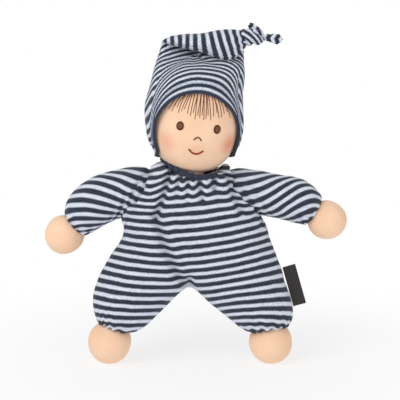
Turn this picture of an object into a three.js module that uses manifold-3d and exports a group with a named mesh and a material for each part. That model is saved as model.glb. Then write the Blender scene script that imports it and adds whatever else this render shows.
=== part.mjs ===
// A stuffed baby doll in a striped knitted suit: covers, fillings, ties, face stitches and a knotted hat.
//
// Millimetres. +Z is up, the face looks along -Y, and left and right are the doll's own, so left is +X.
// The origin is on the floor, under the middle of the doll's width and depth.
// Each soft piece is a form: rings of points swept along its length. A cover is that form less a smaller
// one, its filling is the form drawn in by the cloth and a gap, and a piece that moves leaves its
// neighbour the room it needs at every angle of its joint.

import * as THREE from 'three';
import { mergeVertices } from 'three/addons/utils/BufferGeometryUtils.js';
import Module from 'manifold-3d';

const wasm = await Module();
wasm.setup();

// Cloth and clearances
const clothThickness = 1.2;
const skinThickness = 1;
const hatThickness = 1.8;
const gap = 0.3;
const swingRoom = 1;
const overrun = 60;
const threadRadius = 0.6;

// Suit body
const crotchHeight = 58.2;
const shoulderTop = 143;
const neckHeight = 135;
const torsoHalfWidth = 65;
const torsoHalfDepth = 21;
const bindingThickness = 2;

// Arms
const shoulderOffset = 37.5;
const shoulderHeight = 124.7;
const shoulderRadius = 17.5;
const armLength = 51.2;
const armBulgeHeight = 15.6;
const armBulgeRise = 4.8;
const cuffRadius = 11.2;
const armUndercut = 6;
const leftArmDrop = 19.5;
const rightArmDrop = 31.5;
const handRadius = 13.8;
const handNeckRadius = 4.5;
const handNeckLength = 3.2;
const cuffTilt = 8;

// Legs
const hipOffset = 35.3;
const hipHalfWidth = 34.3;
const hipRadius = 19.5;
const footOffset = 57.4;
const footRadius = 15.5;
const footNeckRadius = 5.5;
const footNeckLength = 3.5;
const hemRadius = 12.2;
const hemTilt = 16;
const soleFlat = 1.1;

// Head and neck
const neckRadius = 10;
const neckShaftRadius = 9.5;
const neckShaftLength = 14;
const neckTieHeight = 2.6;
const headHalfWidth = 31;
const headHalfDepth = 31.5;
const headHalfHeight = 38.5;
const headLift = 40;
const headRoll = 6;
const headYaw = 5;

// Bowl in the top of the suit, in which the chin nods
const bowlMargin = 1.3;
const bowlNodRoom = 6;
const bowlDrop = 3;

// Face
const eyeOffset = 12.4;
const eyeDrop = 5.2;
const eyeHalfWidth = 2.4;
const eyeHalfHeight = 3;
const noseDrop = 13.8;
const noseHalfWidth = 3.1;
const noseRise = 2.4;
const mouthDrop = 20.8;
const mouthHalfWidth = 5.2;
const mouthSag = 2.6;
const stitchHalfWidth = 0.5;
const stitchThickness = 0.5;
const hairHalfWidth = 0.35;
const hairThickness = 0.3;
const hairRootSpan = 8.4;
const hairTipSpan = 21;
const hairRootHeight = 17;
const hairRootSag = 1.6;
const hairTipDrop = 5.5;
const hairTipHeight = 4;
const hairBow = 1.2;

// Hat
const crownHalfWidth = 34.3;
const crownHalfDepth = 34.4;
const crownTop = 48;
const faceOpeningHalfWidth = 28.7;
const faceOpeningDrop = 12;
const faceOpeningRise = 29.9;
const faceOpeningDepth = 27;
const hatEdgeDrop = 28;
const hatOpeningFront = 8;
const hemBand = 2;
const tailLength = 52.5;
const tailStart = -27;
const tailHeight = 49.5;
const tailHalfHeight = 11;
const tailHalfDepth = 13;
const tailForward = 3;
const tailRise = 6.5;
const tailEndTilt = 18;
const knotLength = 17;
const knotRadius = 6;
const tieEndThickness = 2;
const sideEndLength = 14;
const sideEndWidth = 8;
const upEndLength = 5;
const upEndWidth = 9;
const upEndSlant = 1.6;
const upEndTilt = 105;
const upEndGap = 0.3;
const sideEndTilt = 3;

// Label
const labelLength = 29;
const labelWidth = 9;
const labelThickness = 0.8;
const labelTilt = 14;
const labelGap = 0.7;

// Joint ranges that the forms make room for, in degrees
const armLiftRange = [-5, 50];
const armSwingRange = [-30, 45];
const legSwingRange = [-15, 70];
const thighTaper = 5;

// Sides of a ring on each kind of form
const torsoSides = 20;
const armSides = 14;
const roundSteps = 3;
const legSides = 16;
const headSides = 20;
const ballSides = 12;
const cupSides = 24;
const threadSides = 4;
const ovalSides = 10;
const archSteps = 7;

// Shares, chosen by hand, of the sizes that they follow
const torsoHeightShares = [0, 0.02, 0.06, 0.12, 0.19, 0.29, 0.4, 0.51, 0.62, 0.735, 0.85, 0.93, 0.976, 0.995, 1];
const torsoWidthShares = [0, 0.45, 0.8, 0.95, 0.985, 0.9, 0.815, 0.755, 0.715, 0.645, 0.54, 0.455, 0.39, 0.31, 0];
const torsoDepthShares = [0, 0.4, 0.7, 0.9, 1, 1, 0.98, 0.95, 0.92, 0.89, 0.87, 0.84, 0.72, 0.5, 0];
const armLengthShares = [0.18, 0.37, 0.56, 0.72, 0.84, 0.94, 1];
const armHeightShares = [1.08, 1.02, 0.98, 0.94, 0.86, 0.79];
const armDepthShares = [1.06, 1, 0.96, 0.92, 0.85, 0.78];
const armRiseShares = [0.4, 0.8, 1, 0.86, 0.45, 0, -0.2];
const armTiltShares = [0, 0, 0, 0, 0, 0.5, 1];
const legHeightShares = [0, 0.09, 0.2, 0.35, 0.53, 0.74];
const legCentreShares = [1, 0.88, 0.73, 0.58, 0.45, 0.27];
const legWidthShares = [0, 0.16, 0.35, 0.54, 0.72, 0.86];
const legDepthShares = [0, 0.32, 0.56, 0.75, 0.89, 0.98];
const legTiltShares = [1, 0.56, 0.25, 0.06, 0, 0];
const crownHeightShares = [-0.65, -0.48, -0.26, 0, 0.22, 0.43, 0.6, 0.76, 0.89, 0.96];
const crownWidthShares = [0.62, 0.79, 0.955, 1, 1, 0.97, 0.94, 0.905, 0.86, 0.74];
const crownDepthShares = [0.68, 0.84, 0.95, 1, 0.98, 0.88, 0.73, 0.52, 0.3, 0.18];
const tailLengthShares = [0.08, 0.25, 0.45, 0.65, 0.8, 0.92, 1];
const tailHeightShares = [0.26, 0.5, 0.74, 0.95, 1, 0.72, 0.46];
const tailDepthShares = [0.75, 1, 1, 0.9, 0.75, 0.55, 0.4];
const tailRiseShares = [0, 0, 0.03, 0.08, 0.2, 0.6, 1];
const hairTipShares = [
  -0.98, -0.9, -0.74, -0.69, -0.51, -0.31, -0.16, 0, 0.12, 0.24, 0.35, 0.53, 0.7, 0.87, 1,
];
const hairDropShares = [0.2, 0.35, 0.45, -0.2, 0, 0.65, 1, 0.75, 1, 0.45, 0.9, 0, 0.5, -0.2, 0.6];

const arcShares = [-1, -0.5, 0, 0.5, 1];
const knotLengthShares = [0, 0.08, 0.3, 0.42, 0.58, 0.7, 0.92, 1];
const knotRadiusShares = [0.6, 0.9, 0.96, 0.82, 0.82, 1, 0.9, 0.5];
const tieRootShare = 0.35;
const sideEndTuckShare = 0.16;
const upEndShare = 0.3;
const shoulderOpenShare = 0.7;
const hipOpenShare = 0.55;
const labelDropShare = 0.05;
const armRoomShare = 0.7;
const legRoomShares = [-0.6, 0, 0.4, 0.83];

// Colours from the photograph
const cloth = (colour) => new THREE.MeshStandardMaterial({ color: colour, roughness: 0.95, metalness: 0 });
const stripedKnit = cloth('#5c6479');
const darkKnit = cloth('#333a4c');
const skinKnit = cloth('#f3cda8');
const wool = cloth('#efe9db');
const thread = cloth('#e9dcc8');
const brownYarn = cloth('#6b3f26');
const redYarn = cloth('#8c3a33');
const labelRibbon = cloth('#37332f');

const degrees = THREE.MathUtils.degToRad;
const doll = new THREE.Group();

// A round room has to clear the corners of the faceted ball that turns in it.
const facetShare = (sides) => Math.cos(Math.PI / sides) ** 2;
const roomAround = (radius, sides) => (radius + gap) / facetShare(sides);

// A ring of a form lies in the plane of its two directions, so that across, deep and the way on make a
// right-handed set. An upright ring goes up, and a lying one goes outwards along X.
const upright = (x, y, z, tilt, wide, thick) => ({
  centre: new THREE.Vector3(x, y, z),
  across: new THREE.Vector3(Math.cos(degrees(tilt)), 0, Math.sin(degrees(tilt))),
  deep: new THREE.Vector3(0, 1, 0),
  wide,
  thick,
});
const lying = (x, y, z, tilt, wide, thick) => ({
  centre: new THREE.Vector3(x, y, z),
  across: new THREE.Vector3(0, 1, 0),
  deep: new THREE.Vector3(-Math.sin(degrees(tilt)), 0, Math.cos(degrees(tilt))),
  wide,
  thick,
});

function ringOf({ centre, across, deep, wide, thick }, sides) {
  return Array.from({ length: sides }, (_, i) => {
    const angle = (2 * Math.PI * i) / sides;
    const point = centre.clone().addScaledVector(across, wide * Math.cos(angle));
    return point.addScaledVector(deep, thick * Math.sin(angle));
  });
}

// A closed mesh through rows of points: a row of one point is a pole, and a full end row gets a flat face.
function meshOf(rows) {
  const points = [];
  const faces = [];
  const starts = rows.map((row) => points.push(...row) - row.length);
  const sides = Math.max(...rows.map((row) => row.length));
  const next = (i) => (i + 1) % sides;
  const fan = (tip, start, turned) => {
    for (let i = 0; i < sides; i += 1) {
      faces.push(tip, ...(turned ? [start + next(i), start + i] : [start + i, start + next(i)]));
    }
  };
  const centreOf = (row) => row
    .reduce((sum, point) => sum.add(point), new THREE.Vector3())
    .divideScalar(sides);
  const last = rows.length - 1;
  for (let k = 0; k < last; k += 1) {
    if (rows[k].length === 1) fan(starts[k], starts[k + 1], true);
    else if (rows[k + 1].length === 1) fan(starts[k + 1], starts[k], false);
    else {
      for (let i = 0; i < sides; i += 1) {
        const corners = [starts[k] + i, starts[k] + next(i), starts[k + 1] + next(i), starts[k + 1] + i];
        faces.push(corners[0], corners[1], corners[2], corners[0], corners[2], corners[3]);
      }
    }
  }
  if (rows[0].length > 1) fan(points.push(centreOf(rows[0])) - 1, starts[0], true);
  if (rows[last].length > 1) fan(points.push(centreOf(rows[last])) - 1, starts[last], false);
  const geometry = new THREE.BufferGeometry().setFromPoints(points);
  geometry.setIndex(faces);
  return geometry;
}

// The stations of a form, with a pole where a ring has no width.
function formOf(stations, sides) {
  const rows = stations.map((station) => (station.wide === 0 ? [station.centre] : ringOf(station, sides)));
  return meshOf(rows);
}

// The same form with each corner moved out along its normal, or in where the distance is negative.
function grown(geometry, distance) {
  const copy = geometry.clone();
  copy.computeVertexNormals();
  const { position, normal } = copy.attributes;
  for (let i = 0; i < position.count; i += 1) {
    const point = new THREE.Vector3().fromBufferAttribute(position, i);
    point.addScaledVector(new THREE.Vector3().fromBufferAttribute(normal, i), distance);
    position.setXYZ(i, point.x, point.y, point.z);
  }
  return copy;
}

// Solids, and the meshes made of them
function solidOf(geometry) {
  const bare = geometry.clone();
  bare.deleteAttribute('normal');
  bare.deleteAttribute('uv');
  const merged = mergeVertices(bare);
  return new wasm.Manifold(new wasm.Mesh({
    numProp: 3,
    vertProperties: new Float32Array(merged.attributes.position.array),
    triVerts: new Uint32Array(merged.index.array),
  }));
}

function add(group, name, solid, material) {
  const mesh = solid.getMesh();
  const geometry = new THREE.BufferGeometry();
  geometry.setAttribute('position', new THREE.BufferAttribute(mesh.vertProperties, mesh.numProp));
  geometry.setIndex(new THREE.BufferAttribute(mesh.triVerts, 1));
  const piece = new THREE.Mesh(geometry, material);
  piece.name = name;
  group.add(piece);
}

const moved = (solid, matrix) => solid.transform(matrix.elements);
const lessAll = (solid, cutters) => cutters.reduce((rest, cutter) => rest.subtract(cutter), solid);
const onSide = (solid, sign) => (sign > 0 ? solid : solid.mirror([1, 0, 0]));

// Plain round forms about the origin
const ellipsoid = (wide, thick, tall, sides) => {
  const steps = Math.ceil(sides / 2);
  const stations = Array.from({ length: steps + 1 }, (_, i) => {
    const angle = Math.PI * (i / steps - 1 / 2);
    const open = i === 0 || i === steps ? 0 : Math.cos(angle);
    return upright(0, 0, tall * Math.sin(angle), 0, wide * open, thick * open);
  });
  return formOf(stations, sides);
};
const ball = (radius, sides) => ellipsoid(radius, radius, radius, sides);
const drum = (low, lowRadius, high, highRadius, sides) => formOf(
  [upright(0, 0, low, 0, lowRadius, lowRadius), upright(0, 0, high, 0, highRadius, highRadius)],
  sides,
);
const ringAround = (radius, height) => {
  const torus = new THREE.TorusGeometry(radius + gap + threadRadius, threadRadius, threadSides, ballSides);
  return torus.translate(0, 0, height);
};

// A hand or a foot: a ball of wool in a skin whose neck is tied off and tucked into the limb. Its neck
// points up along +Z, and the ball's centre is the origin.
function limbEnd(radius, neckLength, ownNeckRadius) {
  const neckTop = radius + neckLength;
  const outside = solidOf(ball(radius, ballSides))
    .add(solidOf(drum(0, ownNeckRadius, neckTop, ownNeckRadius, ballSides)));
  const bore = ownNeckRadius - skinThickness;
  const inside = solidOf(ball(radius - skinThickness, ballSides))
    .add(solidOf(drum(0, bore, neckTop + overrun, bore, ballSides)));
  return {
    skin: outside.subtract(inside),
    filling: solidOf(ball(radius - skinThickness - gap, ballSides)),
    tie: solidOf(ringAround(ownNeckRadius, radius + neckLength / 2)),
    cup: solidOf(ball(roomAround(radius, cupSides), cupSides)),
    room: solidOf(ball(roomAround(Math.hypot(neckTop, ownNeckRadius), ballSides), ballSides)),
  };
}

// Arm form, lying outwards from the shoulder's centre: a ball at the shoulder, then a full sleeve
const shoulderStations = Array.from({ length: roundSteps }, (_, i) => {
  const angle = (Math.PI / 2) * (i / roundSteps);
  const radius = shoulderRadius * Math.sin(angle);
  return lying(-shoulderRadius * Math.cos(angle), 0, 0, 0, radius, radius);
});
const sleeveStations = armHeightShares.map((share, i) => lying(
  armLength * armLengthShares[i],
  0,
  armBulgeRise * armRiseShares[i],
  -cuffTilt * armTiltShares[i],
  armBulgeHeight * armDepthShares[i],
  armBulgeHeight * share,
));
const cuff = lying(armLength, 0, armBulgeRise * armRiseShares.at(-1), -cuffTilt, cuffRadius, cuffRadius);
const armForm = formOf(
  [...shoulderStations, lying(0, 0, 0, 0, shoulderRadius, shoulderRadius), ...sleeveStations, cuff],
  armSides,
);
const hand = limbEnd(handRadius, handNeckLength, handNeckRadius);
const handReach = Math.sqrt(handRadius ** 2 - (cuffRadius - clothThickness) ** 2);
const handPlace = new THREE.Matrix4().makeRotationY(-Math.PI / 2 + degrees(cuffTilt));
handPlace.setPosition(
  cuff.centre.x + handReach * Math.cos(degrees(cuffTilt)),
  0,
  cuff.centre.z - handReach * Math.sin(degrees(cuffTilt)),
);

// Leg form, from the hem at the foot up to a round top that turns about the hip's sideways axis
const hipHeight = crotchHeight;
const footHeight = footRadius - soleFlat;
const hemReach = Math.sqrt(footRadius ** 2 - (hemRadius - clothThickness) ** 2);
const hemX = footOffset - hemReach * Math.sin(degrees(hemTilt));
const hemHeight = footHeight + hemReach * Math.cos(degrees(hemTilt));
const thighStations = legHeightShares.map((share, i) => upright(
  THREE.MathUtils.lerp(hipOffset, hemX, legCentreShares[i]),
  0,
  THREE.MathUtils.lerp(hemHeight, hipHeight, share),
  hemTilt * legTiltShares[i],
  THREE.MathUtils.lerp(hemRadius, hipHalfWidth, legWidthShares[i]),
  THREE.MathUtils.lerp(hemRadius, hipRadius, legDepthShares[i]),
));
const hipStations = Array.from({ length: roundSteps + 1 }, (_, i) => {
  const angle = (Math.PI / 2) * (i / roundSteps);
  const open = i === roundSteps ? 0 : Math.cos(angle);
  const height = hipHeight + hipRadius * Math.sin(angle);
  return upright(hipOffset, 0, height, 0, hipHalfWidth * open, hipRadius * open);
});
const legForm = formOf([...thighStations, ...hipStations], legSides);
const foot = limbEnd(footRadius, footNeckLength, footNeckRadius);
const footPlace = new THREE.Matrix4().makeRotationY(-degrees(hemTilt));
footPlace.setPosition(footOffset, 0, footHeight);

// Torso form
const torsoForm = formOf(torsoHeightShares.map((share, i) => upright(
  0,
  0,
  THREE.MathUtils.lerp(crotchHeight, shoulderTop, share),
  0,
  torsoHalfWidth * torsoWidthShares[i],
  torsoHalfDepth * torsoDepthShares[i],
)), torsoSides);

// The place that an arm takes as its joints turn
const armPlace = (drop, lift, swing) => {
  const place = new THREE.Matrix4().makeTranslation(shoulderOffset, 0, shoulderHeight);
  place.multiply(new THREE.Matrix4().makeRotationY(-degrees(lift)));
  place.multiply(new THREE.Matrix4().makeRotationZ(-degrees(swing)));
  return place.multiply(new THREE.Matrix4().makeRotationY(degrees(drop)));
};
const sides = [
  { name: 'left', sign: 1, drop: leftArmDrop },
  { name: 'right', sign: -1, drop: rightArmDrop },
];
const middleOf = ([low, high]) => (low + high) / 2;
const halfSpanOf = ([low, high]) => degrees((high - low) / 2);

// The room that an arm sweeps beside its ball: an oval funnel about the middle of its two ranges, whose
// side is the line that the sleeve reaches at the end of its swing
function armRoom() {
  const radius = shoulderRadius + swingRoom;
  const lift = halfSpanOf(armLiftRange);
  const swing = halfSpanOf(armSwingRange);
  const reach = (angle, along) => radius / Math.cos(angle) + along * Math.tan(angle);
  const stations = [-radius * Math.sin(swing), armLength * armRoomShare].map((along, i) => lying(
    along,
    0,
    i * armUndercut / 2,
    0,
    reach(swing, along),
    reach(lift, along) - i * armUndercut / 2,
  ));
  return formOf(stations, armSides);
}

// The room that a leg sweeps before and behind its round top, as rings whose front and back edges are the
// lines that the thigh reaches at the ends of its swing
function legRoom() {
  const radius = hipRadius + swingRoom;
  const [back, front] = legSwingRange.map((angle) => degrees(Math.max(Math.abs(angle) - thighTaper, 0)));
  const stations = legRoomShares.map((share) => {
    const height = radius * share;
    const frontEdge = -(radius - height * Math.sin(front)) / Math.cos(front);
    const backEdge = (radius - height * Math.sin(back)) / Math.cos(back);
    const wide = (hipHalfWidth + swingRoom) * Math.sqrt(1 - Math.max(share, 0) ** 2);
    const station = upright(hipOffset, 0, hipHeight + height, 0, wide, (backEdge - frontEdge) / 2);
    station.centre.y = (frontEdge + backEdge) / 2;
    return station;
  });
  return formOf(stations, legSides);
}
const shoulderBall = solidOf(ball(shoulderRadius + swingRoom, armSides));
const sweptArm = solidOf(armRoom());
const sweptLeg = solidOf(legRoom());
const hipBall = moved(
  solidOf(ellipsoid(hipHalfWidth + swingRoom, hipRadius + swingRoom, hipRadius + swingRoom, legSides)),
  new THREE.Matrix4().makeTranslation(hipOffset, 0, hipHeight),
);
const limbRooms = sides.flatMap(({ sign, drop }) => {
  const place = armPlace(drop, middleOf(armLiftRange), middleOf(armSwingRange));
  return [moved(shoulderBall, armPlace(drop, 0, 0)), moved(sweptArm, place), hipBall, sweptLeg]
    .map((room) => onSide(room, sign));
});

// Neck: the top of the suit is a bowl for the chin, lined by the binding, round the ball of the neck
const bowlPlace = new THREE.Matrix4().makeTranslation(0, 0, neckHeight);
bowlPlace.multiply(new THREE.Matrix4().makeRotationY(degrees(headRoll)));
bowlPlace.multiply(new THREE.Matrix4().makeTranslation(0, 0, headLift - bowlDrop));
const bowlForm = ellipsoid(
  headHalfWidth + bowlMargin,
  headHalfDepth + bowlMargin + bowlNodRoom,
  headHalfHeight + bowlMargin,
  headSides,
);
const bowlGrown = (distance) => moved(solidOf(grown(bowlForm, distance)), bowlPlace);
const neckRoom = moved(
  solidOf(ball(roomAround(neckRadius, ballSides), ballSides)),
  new THREE.Matrix4().makeTranslation(0, 0, neckHeight),
);
const torsoInside = solidOf(grown(torsoForm, -clothThickness));
const torsoRooms = [bowlGrown(bindingThickness + gap), neckRoom, ...limbRooms];
add(doll, 'torso_cover', lessAll(solidOf(torsoForm).subtract(torsoInside), torsoRooms), stripedKnit);
add(doll, 'torso_filling', lessAll(solidOf(grown(torsoForm, -clothThickness - gap)), torsoRooms), wool);
const bowlLining = solidOf(torsoForm).intersect(bowlGrown(bindingThickness));
add(doll, 'neck_binding', lessAll(bowlLining, [bowlGrown(0), neckRoom, ...limbRooms]), darkKnit);

// Arms
for (const { name, sign, drop } of sides) {
  const arm = new THREE.Group();
  arm.position.set(sign * shoulderOffset, 0, shoulderHeight);
  arm.rotation.y = sign * degrees(drop);
  doll.add(arm);
  const sideOpenTo = (x) => {
    const block = new THREE.BoxGeometry(overrun, overrun, overrun);
    return solidOf(block.translate(x - overrun / 2, 0, 0));
  };
  const cup = moved(hand.cup, handPlace);
  const sleeve = lessAll(solidOf(armForm), [
    solidOf(grown(armForm, -clothThickness)),
    cup,
    sideOpenTo(-shoulderRadius * shoulderOpenShare),
  ]);
  const wadRadius = (shoulderRadius - clothThickness) * facetShare(armSides) - gap;
  const wad = solidOf(ball(wadRadius, armSides));
  const wadRoom = solidOf(ball(roomAround(wadRadius, armSides), armSides));
  const stuffing = lessAll(
    solidOf(grown(armForm, -clothThickness - gap)),
    [wadRoom, moved(hand.room, handPlace), sideOpenTo(armLength * armLengthShares[0])],
  );
  add(arm, `${name}_shoulder_filling`, onSide(wad, sign), wool);
  add(arm, `${name}_sleeve`, onSide(sleeve, sign), stripedKnit);
  add(arm, `${name}_arm_filling`, onSide(stuffing, sign), wool);
  add(arm, `${name}_hand_skin`, onSide(moved(hand.skin, handPlace), sign), skinKnit);
  add(arm, `${name}_hand_filling`, onSide(moved(hand.filling, handPlace), sign), wool);
  add(arm, `${name}_wrist_tie`, onSide(moved(hand.tie, handPlace), sign), thread);
}

// Legs
const floorBlock = new THREE.BoxGeometry(overrun, overrun, overrun).translate(footOffset, 0, -overrun / 2);
const floorCut = solidOf(floorBlock);
const hipOpening = solidOf(new THREE.BoxGeometry(
  2 * hipHalfWidth * hipOpenShare,
  2 * hipRadius * hipOpenShare,
  overrun,
).translate(hipOffset, 0, hipHeight + overrun / 2));
for (const { name, sign } of sides) {
  const leg = new THREE.Group();
  doll.add(leg);
  const trouser = lessAll(
    solidOf(legForm),
    [solidOf(grown(legForm, -clothThickness)), moved(foot.cup, footPlace), hipOpening],
  );
  const stuffing = solidOf(grown(legForm, -clothThickness - gap)).subtract(moved(foot.room, footPlace));
  add(leg, `${name}_trouser_leg`, onSide(trouser, sign), stripedKnit);
  add(leg, `${name}_leg_filling`, onSide(stuffing, sign), wool);
  add(leg, `${name}_foot_skin`, onSide(moved(foot.skin, footPlace).subtract(floorCut), sign), skinKnit);
  add(leg, `${name}_foot_filling`, onSide(moved(foot.filling, footPlace), sign), wool);
  add(leg, `${name}_ankle_tie`, onSide(moved(foot.tie, footPlace), sign), thread);
}

// Blank side label, sewn into the outer seam of the left leg
const labelEdgeX = hipOffset + hipHalfWidth + labelGap;
const label = new THREE.BoxGeometry(labelWidth, labelThickness, labelLength);
label.translate(labelWidth / 2, 0, 0).rotateY(degrees(-labelTilt));
label.translate(labelEdgeX, 0, hipHeight - labelLength * labelDropShare);
add(doll, 'side_label', solidOf(label), labelRibbon);

// Head, about the neck's pivot
const head = new THREE.Group();
head.position.set(0, 0, neckHeight);
head.rotation.y = degrees(headRoll);
const turnedHead = new THREE.Group();
turnedHead.rotation.z = degrees(headYaw);
head.add(turnedHead);
doll.add(head);
const headUp = new THREE.Matrix4().makeTranslation(0, 0, headLift);
const headForm = ellipsoid(headHalfWidth, headHalfDepth, headHalfHeight, headSides);
const shaftRoomRadius = roomAround(neckShaftRadius, ballSides);
const shaftRoomTop = neckShaftLength + gap;
const shaftRoom = solidOf(drum(-overrun, shaftRoomRadius, shaftRoomTop, shaftRoomRadius, ballSides));
const neckShaft = drum(0, neckShaftRadius, neckShaftLength, neckShaftRadius, ballSides);
add(turnedHead, 'neck_filling', solidOf(ball(neckRadius, ballSides)).add(solidOf(neckShaft)), wool);
const headInside = moved(solidOf(grown(headForm, -skinThickness)), headUp);
const headSkin = moved(solidOf(headForm), headUp).subtract(headInside).subtract(shaftRoom);
add(turnedHead, 'head_skin', headSkin, skinKnit);
const headStuffing = moved(solidOf(grown(headForm, -skinThickness - gap)), headUp).subtract(shaftRoom);
add(turnedHead, 'head_filling', headStuffing, wool);
add(turnedHead, 'neck_tie', solidOf(ringAround(neckShaftRadius, neckTieHeight)), thread);

// A point on the front of the head, x aside and z above the head's centre, lifted off the skin
function onFace(x, z, lift) {
  const y = -headHalfDepth * Math.sqrt(1 - (x / headHalfWidth) ** 2 - (z / headHalfHeight) ** 2);
  const out = new THREE.Vector3(x / headHalfWidth ** 2, y / headHalfDepth ** 2, z / headHalfHeight ** 2);
  return new THREE.Vector3(x, y, z + headLift).addScaledVector(out.normalize(), lift);
}

// A satin-stitched oval that lies on the skin
function ovalStitch(x, z, halfWidth, halfHeight) {
  const rim = (lift) => Array.from({ length: ovalSides }, (_, i) => {
    const angle = (2 * Math.PI * i) / ovalSides;
    return onFace(x + halfWidth * Math.cos(angle), z + halfHeight * Math.sin(angle), lift);
  });
  const top = gap + stitchThickness;
  return solidOf(meshOf([[onFace(x, z, gap)], rim(gap), rim(top), [onFace(x, z, top)]]));
}

// A line of stitches through places on the face, as a strip with four edges
function lineStitch(places, halfWidth, thickness) {
  const rows = places.map((place, i) => {
    const before = places[Math.max(i - 1, 0)];
    const after = places[Math.min(i + 1, places.length - 1)];
    const along = after.clone().sub(before).normalize().multiplyScalar(halfWidth);
    const corner = (side, lift) => onFace(place.x - side * along.y, place.y + side * along.x, lift);
    return [corner(1, gap), corner(1, gap + thickness), corner(-1, gap + thickness), corner(-1, gap)];
  });
  return solidOf(meshOf(rows));
}

// A shallow curve of stitches, whose middle lies above or below its ends
function arcStitch(halfWidth, height, rise) {
  const places = arcShares.map((share) => new THREE.Vector2(
    halfWidth * share,
    height + rise * (1 - share ** 2),
  ));
  return lineStitch(places, stitchHalfWidth, stitchThickness);
}
add(turnedHead, 'left_eye', ovalStitch(eyeOffset, -eyeDrop, eyeHalfWidth, eyeHalfHeight), brownYarn);
add(turnedHead, 'right_eye', ovalStitch(-eyeOffset, -eyeDrop, eyeHalfWidth, eyeHalfHeight), brownYarn);
add(turnedHead, 'nose', arcStitch(noseHalfWidth, -noseDrop, noseRise), brownYarn);
add(turnedHead, 'mouth', arcStitch(mouthHalfWidth, -mouthDrop, -mouthSag), redYarn);

// Fringe: single yarns that fan from one band of roots under the hat's hem
const rootAt = (share) => new THREE.Vector2(
  hairRootSpan * share,
  hairRootHeight - hairRootSag * share ** 2,
);
const strands = hairTipShares.map((share, i) => {
  const tip = new THREE.Vector2(hairTipSpan * share, hairTipHeight - hairTipDrop * hairDropShares[i]);
  const root = rootAt(share);
  const bow = new THREE.Vector2(root.x, root.y).lerp(tip, 1 / 2);
  bow.x += hairBow * share;
  return lineStitch([root, bow, tip], hairHalfWidth, hairThickness);
});
const roots = lineStitch(arcShares.map(rootAt), hairHalfWidth * 2, hairThickness);
add(turnedHead, 'hair_fringe', strands.reduce((joined, strand) => joined.add(strand), roots), brownYarn);

// Hat crown: a knitted bag over the head, open round the face and below, with a turned hem
const crownForm = formOf([
  ...crownHeightShares.map((share, i) => upright(
    0,
    0,
    crownTop * share,
    0,
    crownHalfWidth * crownWidthShares[i],
    crownHalfDepth * crownDepthShares[i],
  )),
  upright(0, 0, crownTop, 0, 0, 0),
], headSides);

// The room for the face and neck, with the hat's edge moved back by a margin
function hatOpening(margin) {
  const outline = new THREE.Shape();
  const half = faceOpeningHalfWidth + margin;
  outline.absellipse(0, -faceOpeningDrop, half, faceOpeningRise + margin, 0, Math.PI);
  outline.absellipse(0, -faceOpeningDrop, half, faceOpeningDepth + margin, Math.PI, 2 * Math.PI);
  const settings = { depth: overrun, bevelEnabled: false, curveSegments: archSteps };
  const arch = new THREE.ExtrudeGeometry(outline, settings);
  arch.rotateX(Math.PI / 2).translate(0, margin - hatOpeningFront, 0);
  const below = new THREE.BoxGeometry(2 * overrun, 2 * overrun, overrun);
  below.translate(0, 0, margin - hatEdgeDrop - overrun / 2);
  return solidOf(arch).add(solidOf(below));
}
const hatShell = solidOf(crownForm).subtract(solidOf(grown(crownForm, -hatThickness)));

// Hat tail: the bag's pointed end, folded over to the doll's left along the crown's top, and knotted
const tailStations = tailLengthShares.map((share, i) => lying(
  tailStart + tailLength * share,
  -tailForward,
  tailHeight + tailRise * tailRiseShares[i],
  tailEndTilt * tailRiseShares[i],
  tailHalfDepth * tailDepthShares[i],
  tailHalfHeight * tailHeightShares[i],
));
const tailForm = formOf([lying(tailStart, -tailForward, tailHeight, 0, 0, 0), ...tailStations], armSides);
const tailRoom = solidOf(grown(tailForm, 2 * gap));
const crown = hatShell.subtract(hatOpening(hemBand + gap)).subtract(tailRoom);
add(turnedHead, 'hat_crown', moved(crown, headUp), stripedKnit);
const hem = hatShell.intersect(hatOpening(hemBand)).subtract(hatOpening(0));
add(turnedHead, 'hat_hem', moved(hem, headUp), darkKnit);
add(turnedHead, 'hat_tail', moved(solidOf(tailForm), headUp), stripedKnit);

// Knot with its wrapped waist, standing on the tail's end along the tail's direction
const tailEnd = tailStations.at(-1).centre;
const knotPlace = new THREE.Matrix4().makeRotationY(Math.PI / 2 - degrees(tailEndTilt));
knotPlace.setPosition(tailEnd.x, tailEnd.y, tailEnd.z + headLift);
const knotStations = knotLengthShares.map((share, i) => upright(
  0,
  0,
  gap + knotLength * share,
  0,
  knotRadius * knotRadiusShares[i],
  knotRadius * knotRadiusShares[i],
));
add(turnedHead, 'hat_knot', moved(solidOf(formOf(knotStations, ballSides)), knotPlace), stripedKnit);

// The two flat ends that stick out of the knot
function tieEnd(length, width, slant) {
  const outline = new THREE.Shape([
    new THREE.Vector2(0, -width * tieRootShare),
    new THREE.Vector2(length - slant, -width / 2),
    new THREE.Vector2(length, 0),
    new THREE.Vector2(length - slant, width / 2),
    new THREE.Vector2(0, width * tieRootShare),
  ]);
  const strip = new THREE.ExtrudeGeometry(outline, { depth: tieEndThickness, bevelEnabled: false });
  return strip.translate(0, 0, -tieEndThickness / 2).rotateX(Math.PI / 2);
}
const knotAxis = new THREE.Vector3(Math.cos(degrees(tailEndTilt)), 0, Math.sin(degrees(tailEndTilt)));
const sideEnd = tieEnd(sideEndLength, sideEndWidth, upEndSlant).rotateY(degrees(sideEndTilt));
const sideEndReach = knotLength + 2 * gap + sideEndWidth * sideEndTuckShare;
const sideEndAt = tailEnd.clone().addScaledVector(knotAxis, sideEndReach);
sideEnd.translate(sideEndAt.x, sideEndAt.y, sideEndAt.z + headLift);
add(turnedHead, 'hat_side_end', solidOf(sideEnd), stripedKnit);
const upEnd = tieEnd(upEndLength, upEndWidth, -upEndSlant).rotateY(-degrees(upEndTilt));
const upEndAt = tailEnd.clone().addScaledVector(knotAxis, knotLength * upEndShare);
upEnd.translate(upEndAt.x, upEndAt.y, upEndAt.z + headLift + knotRadius + upEndGap);
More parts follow.
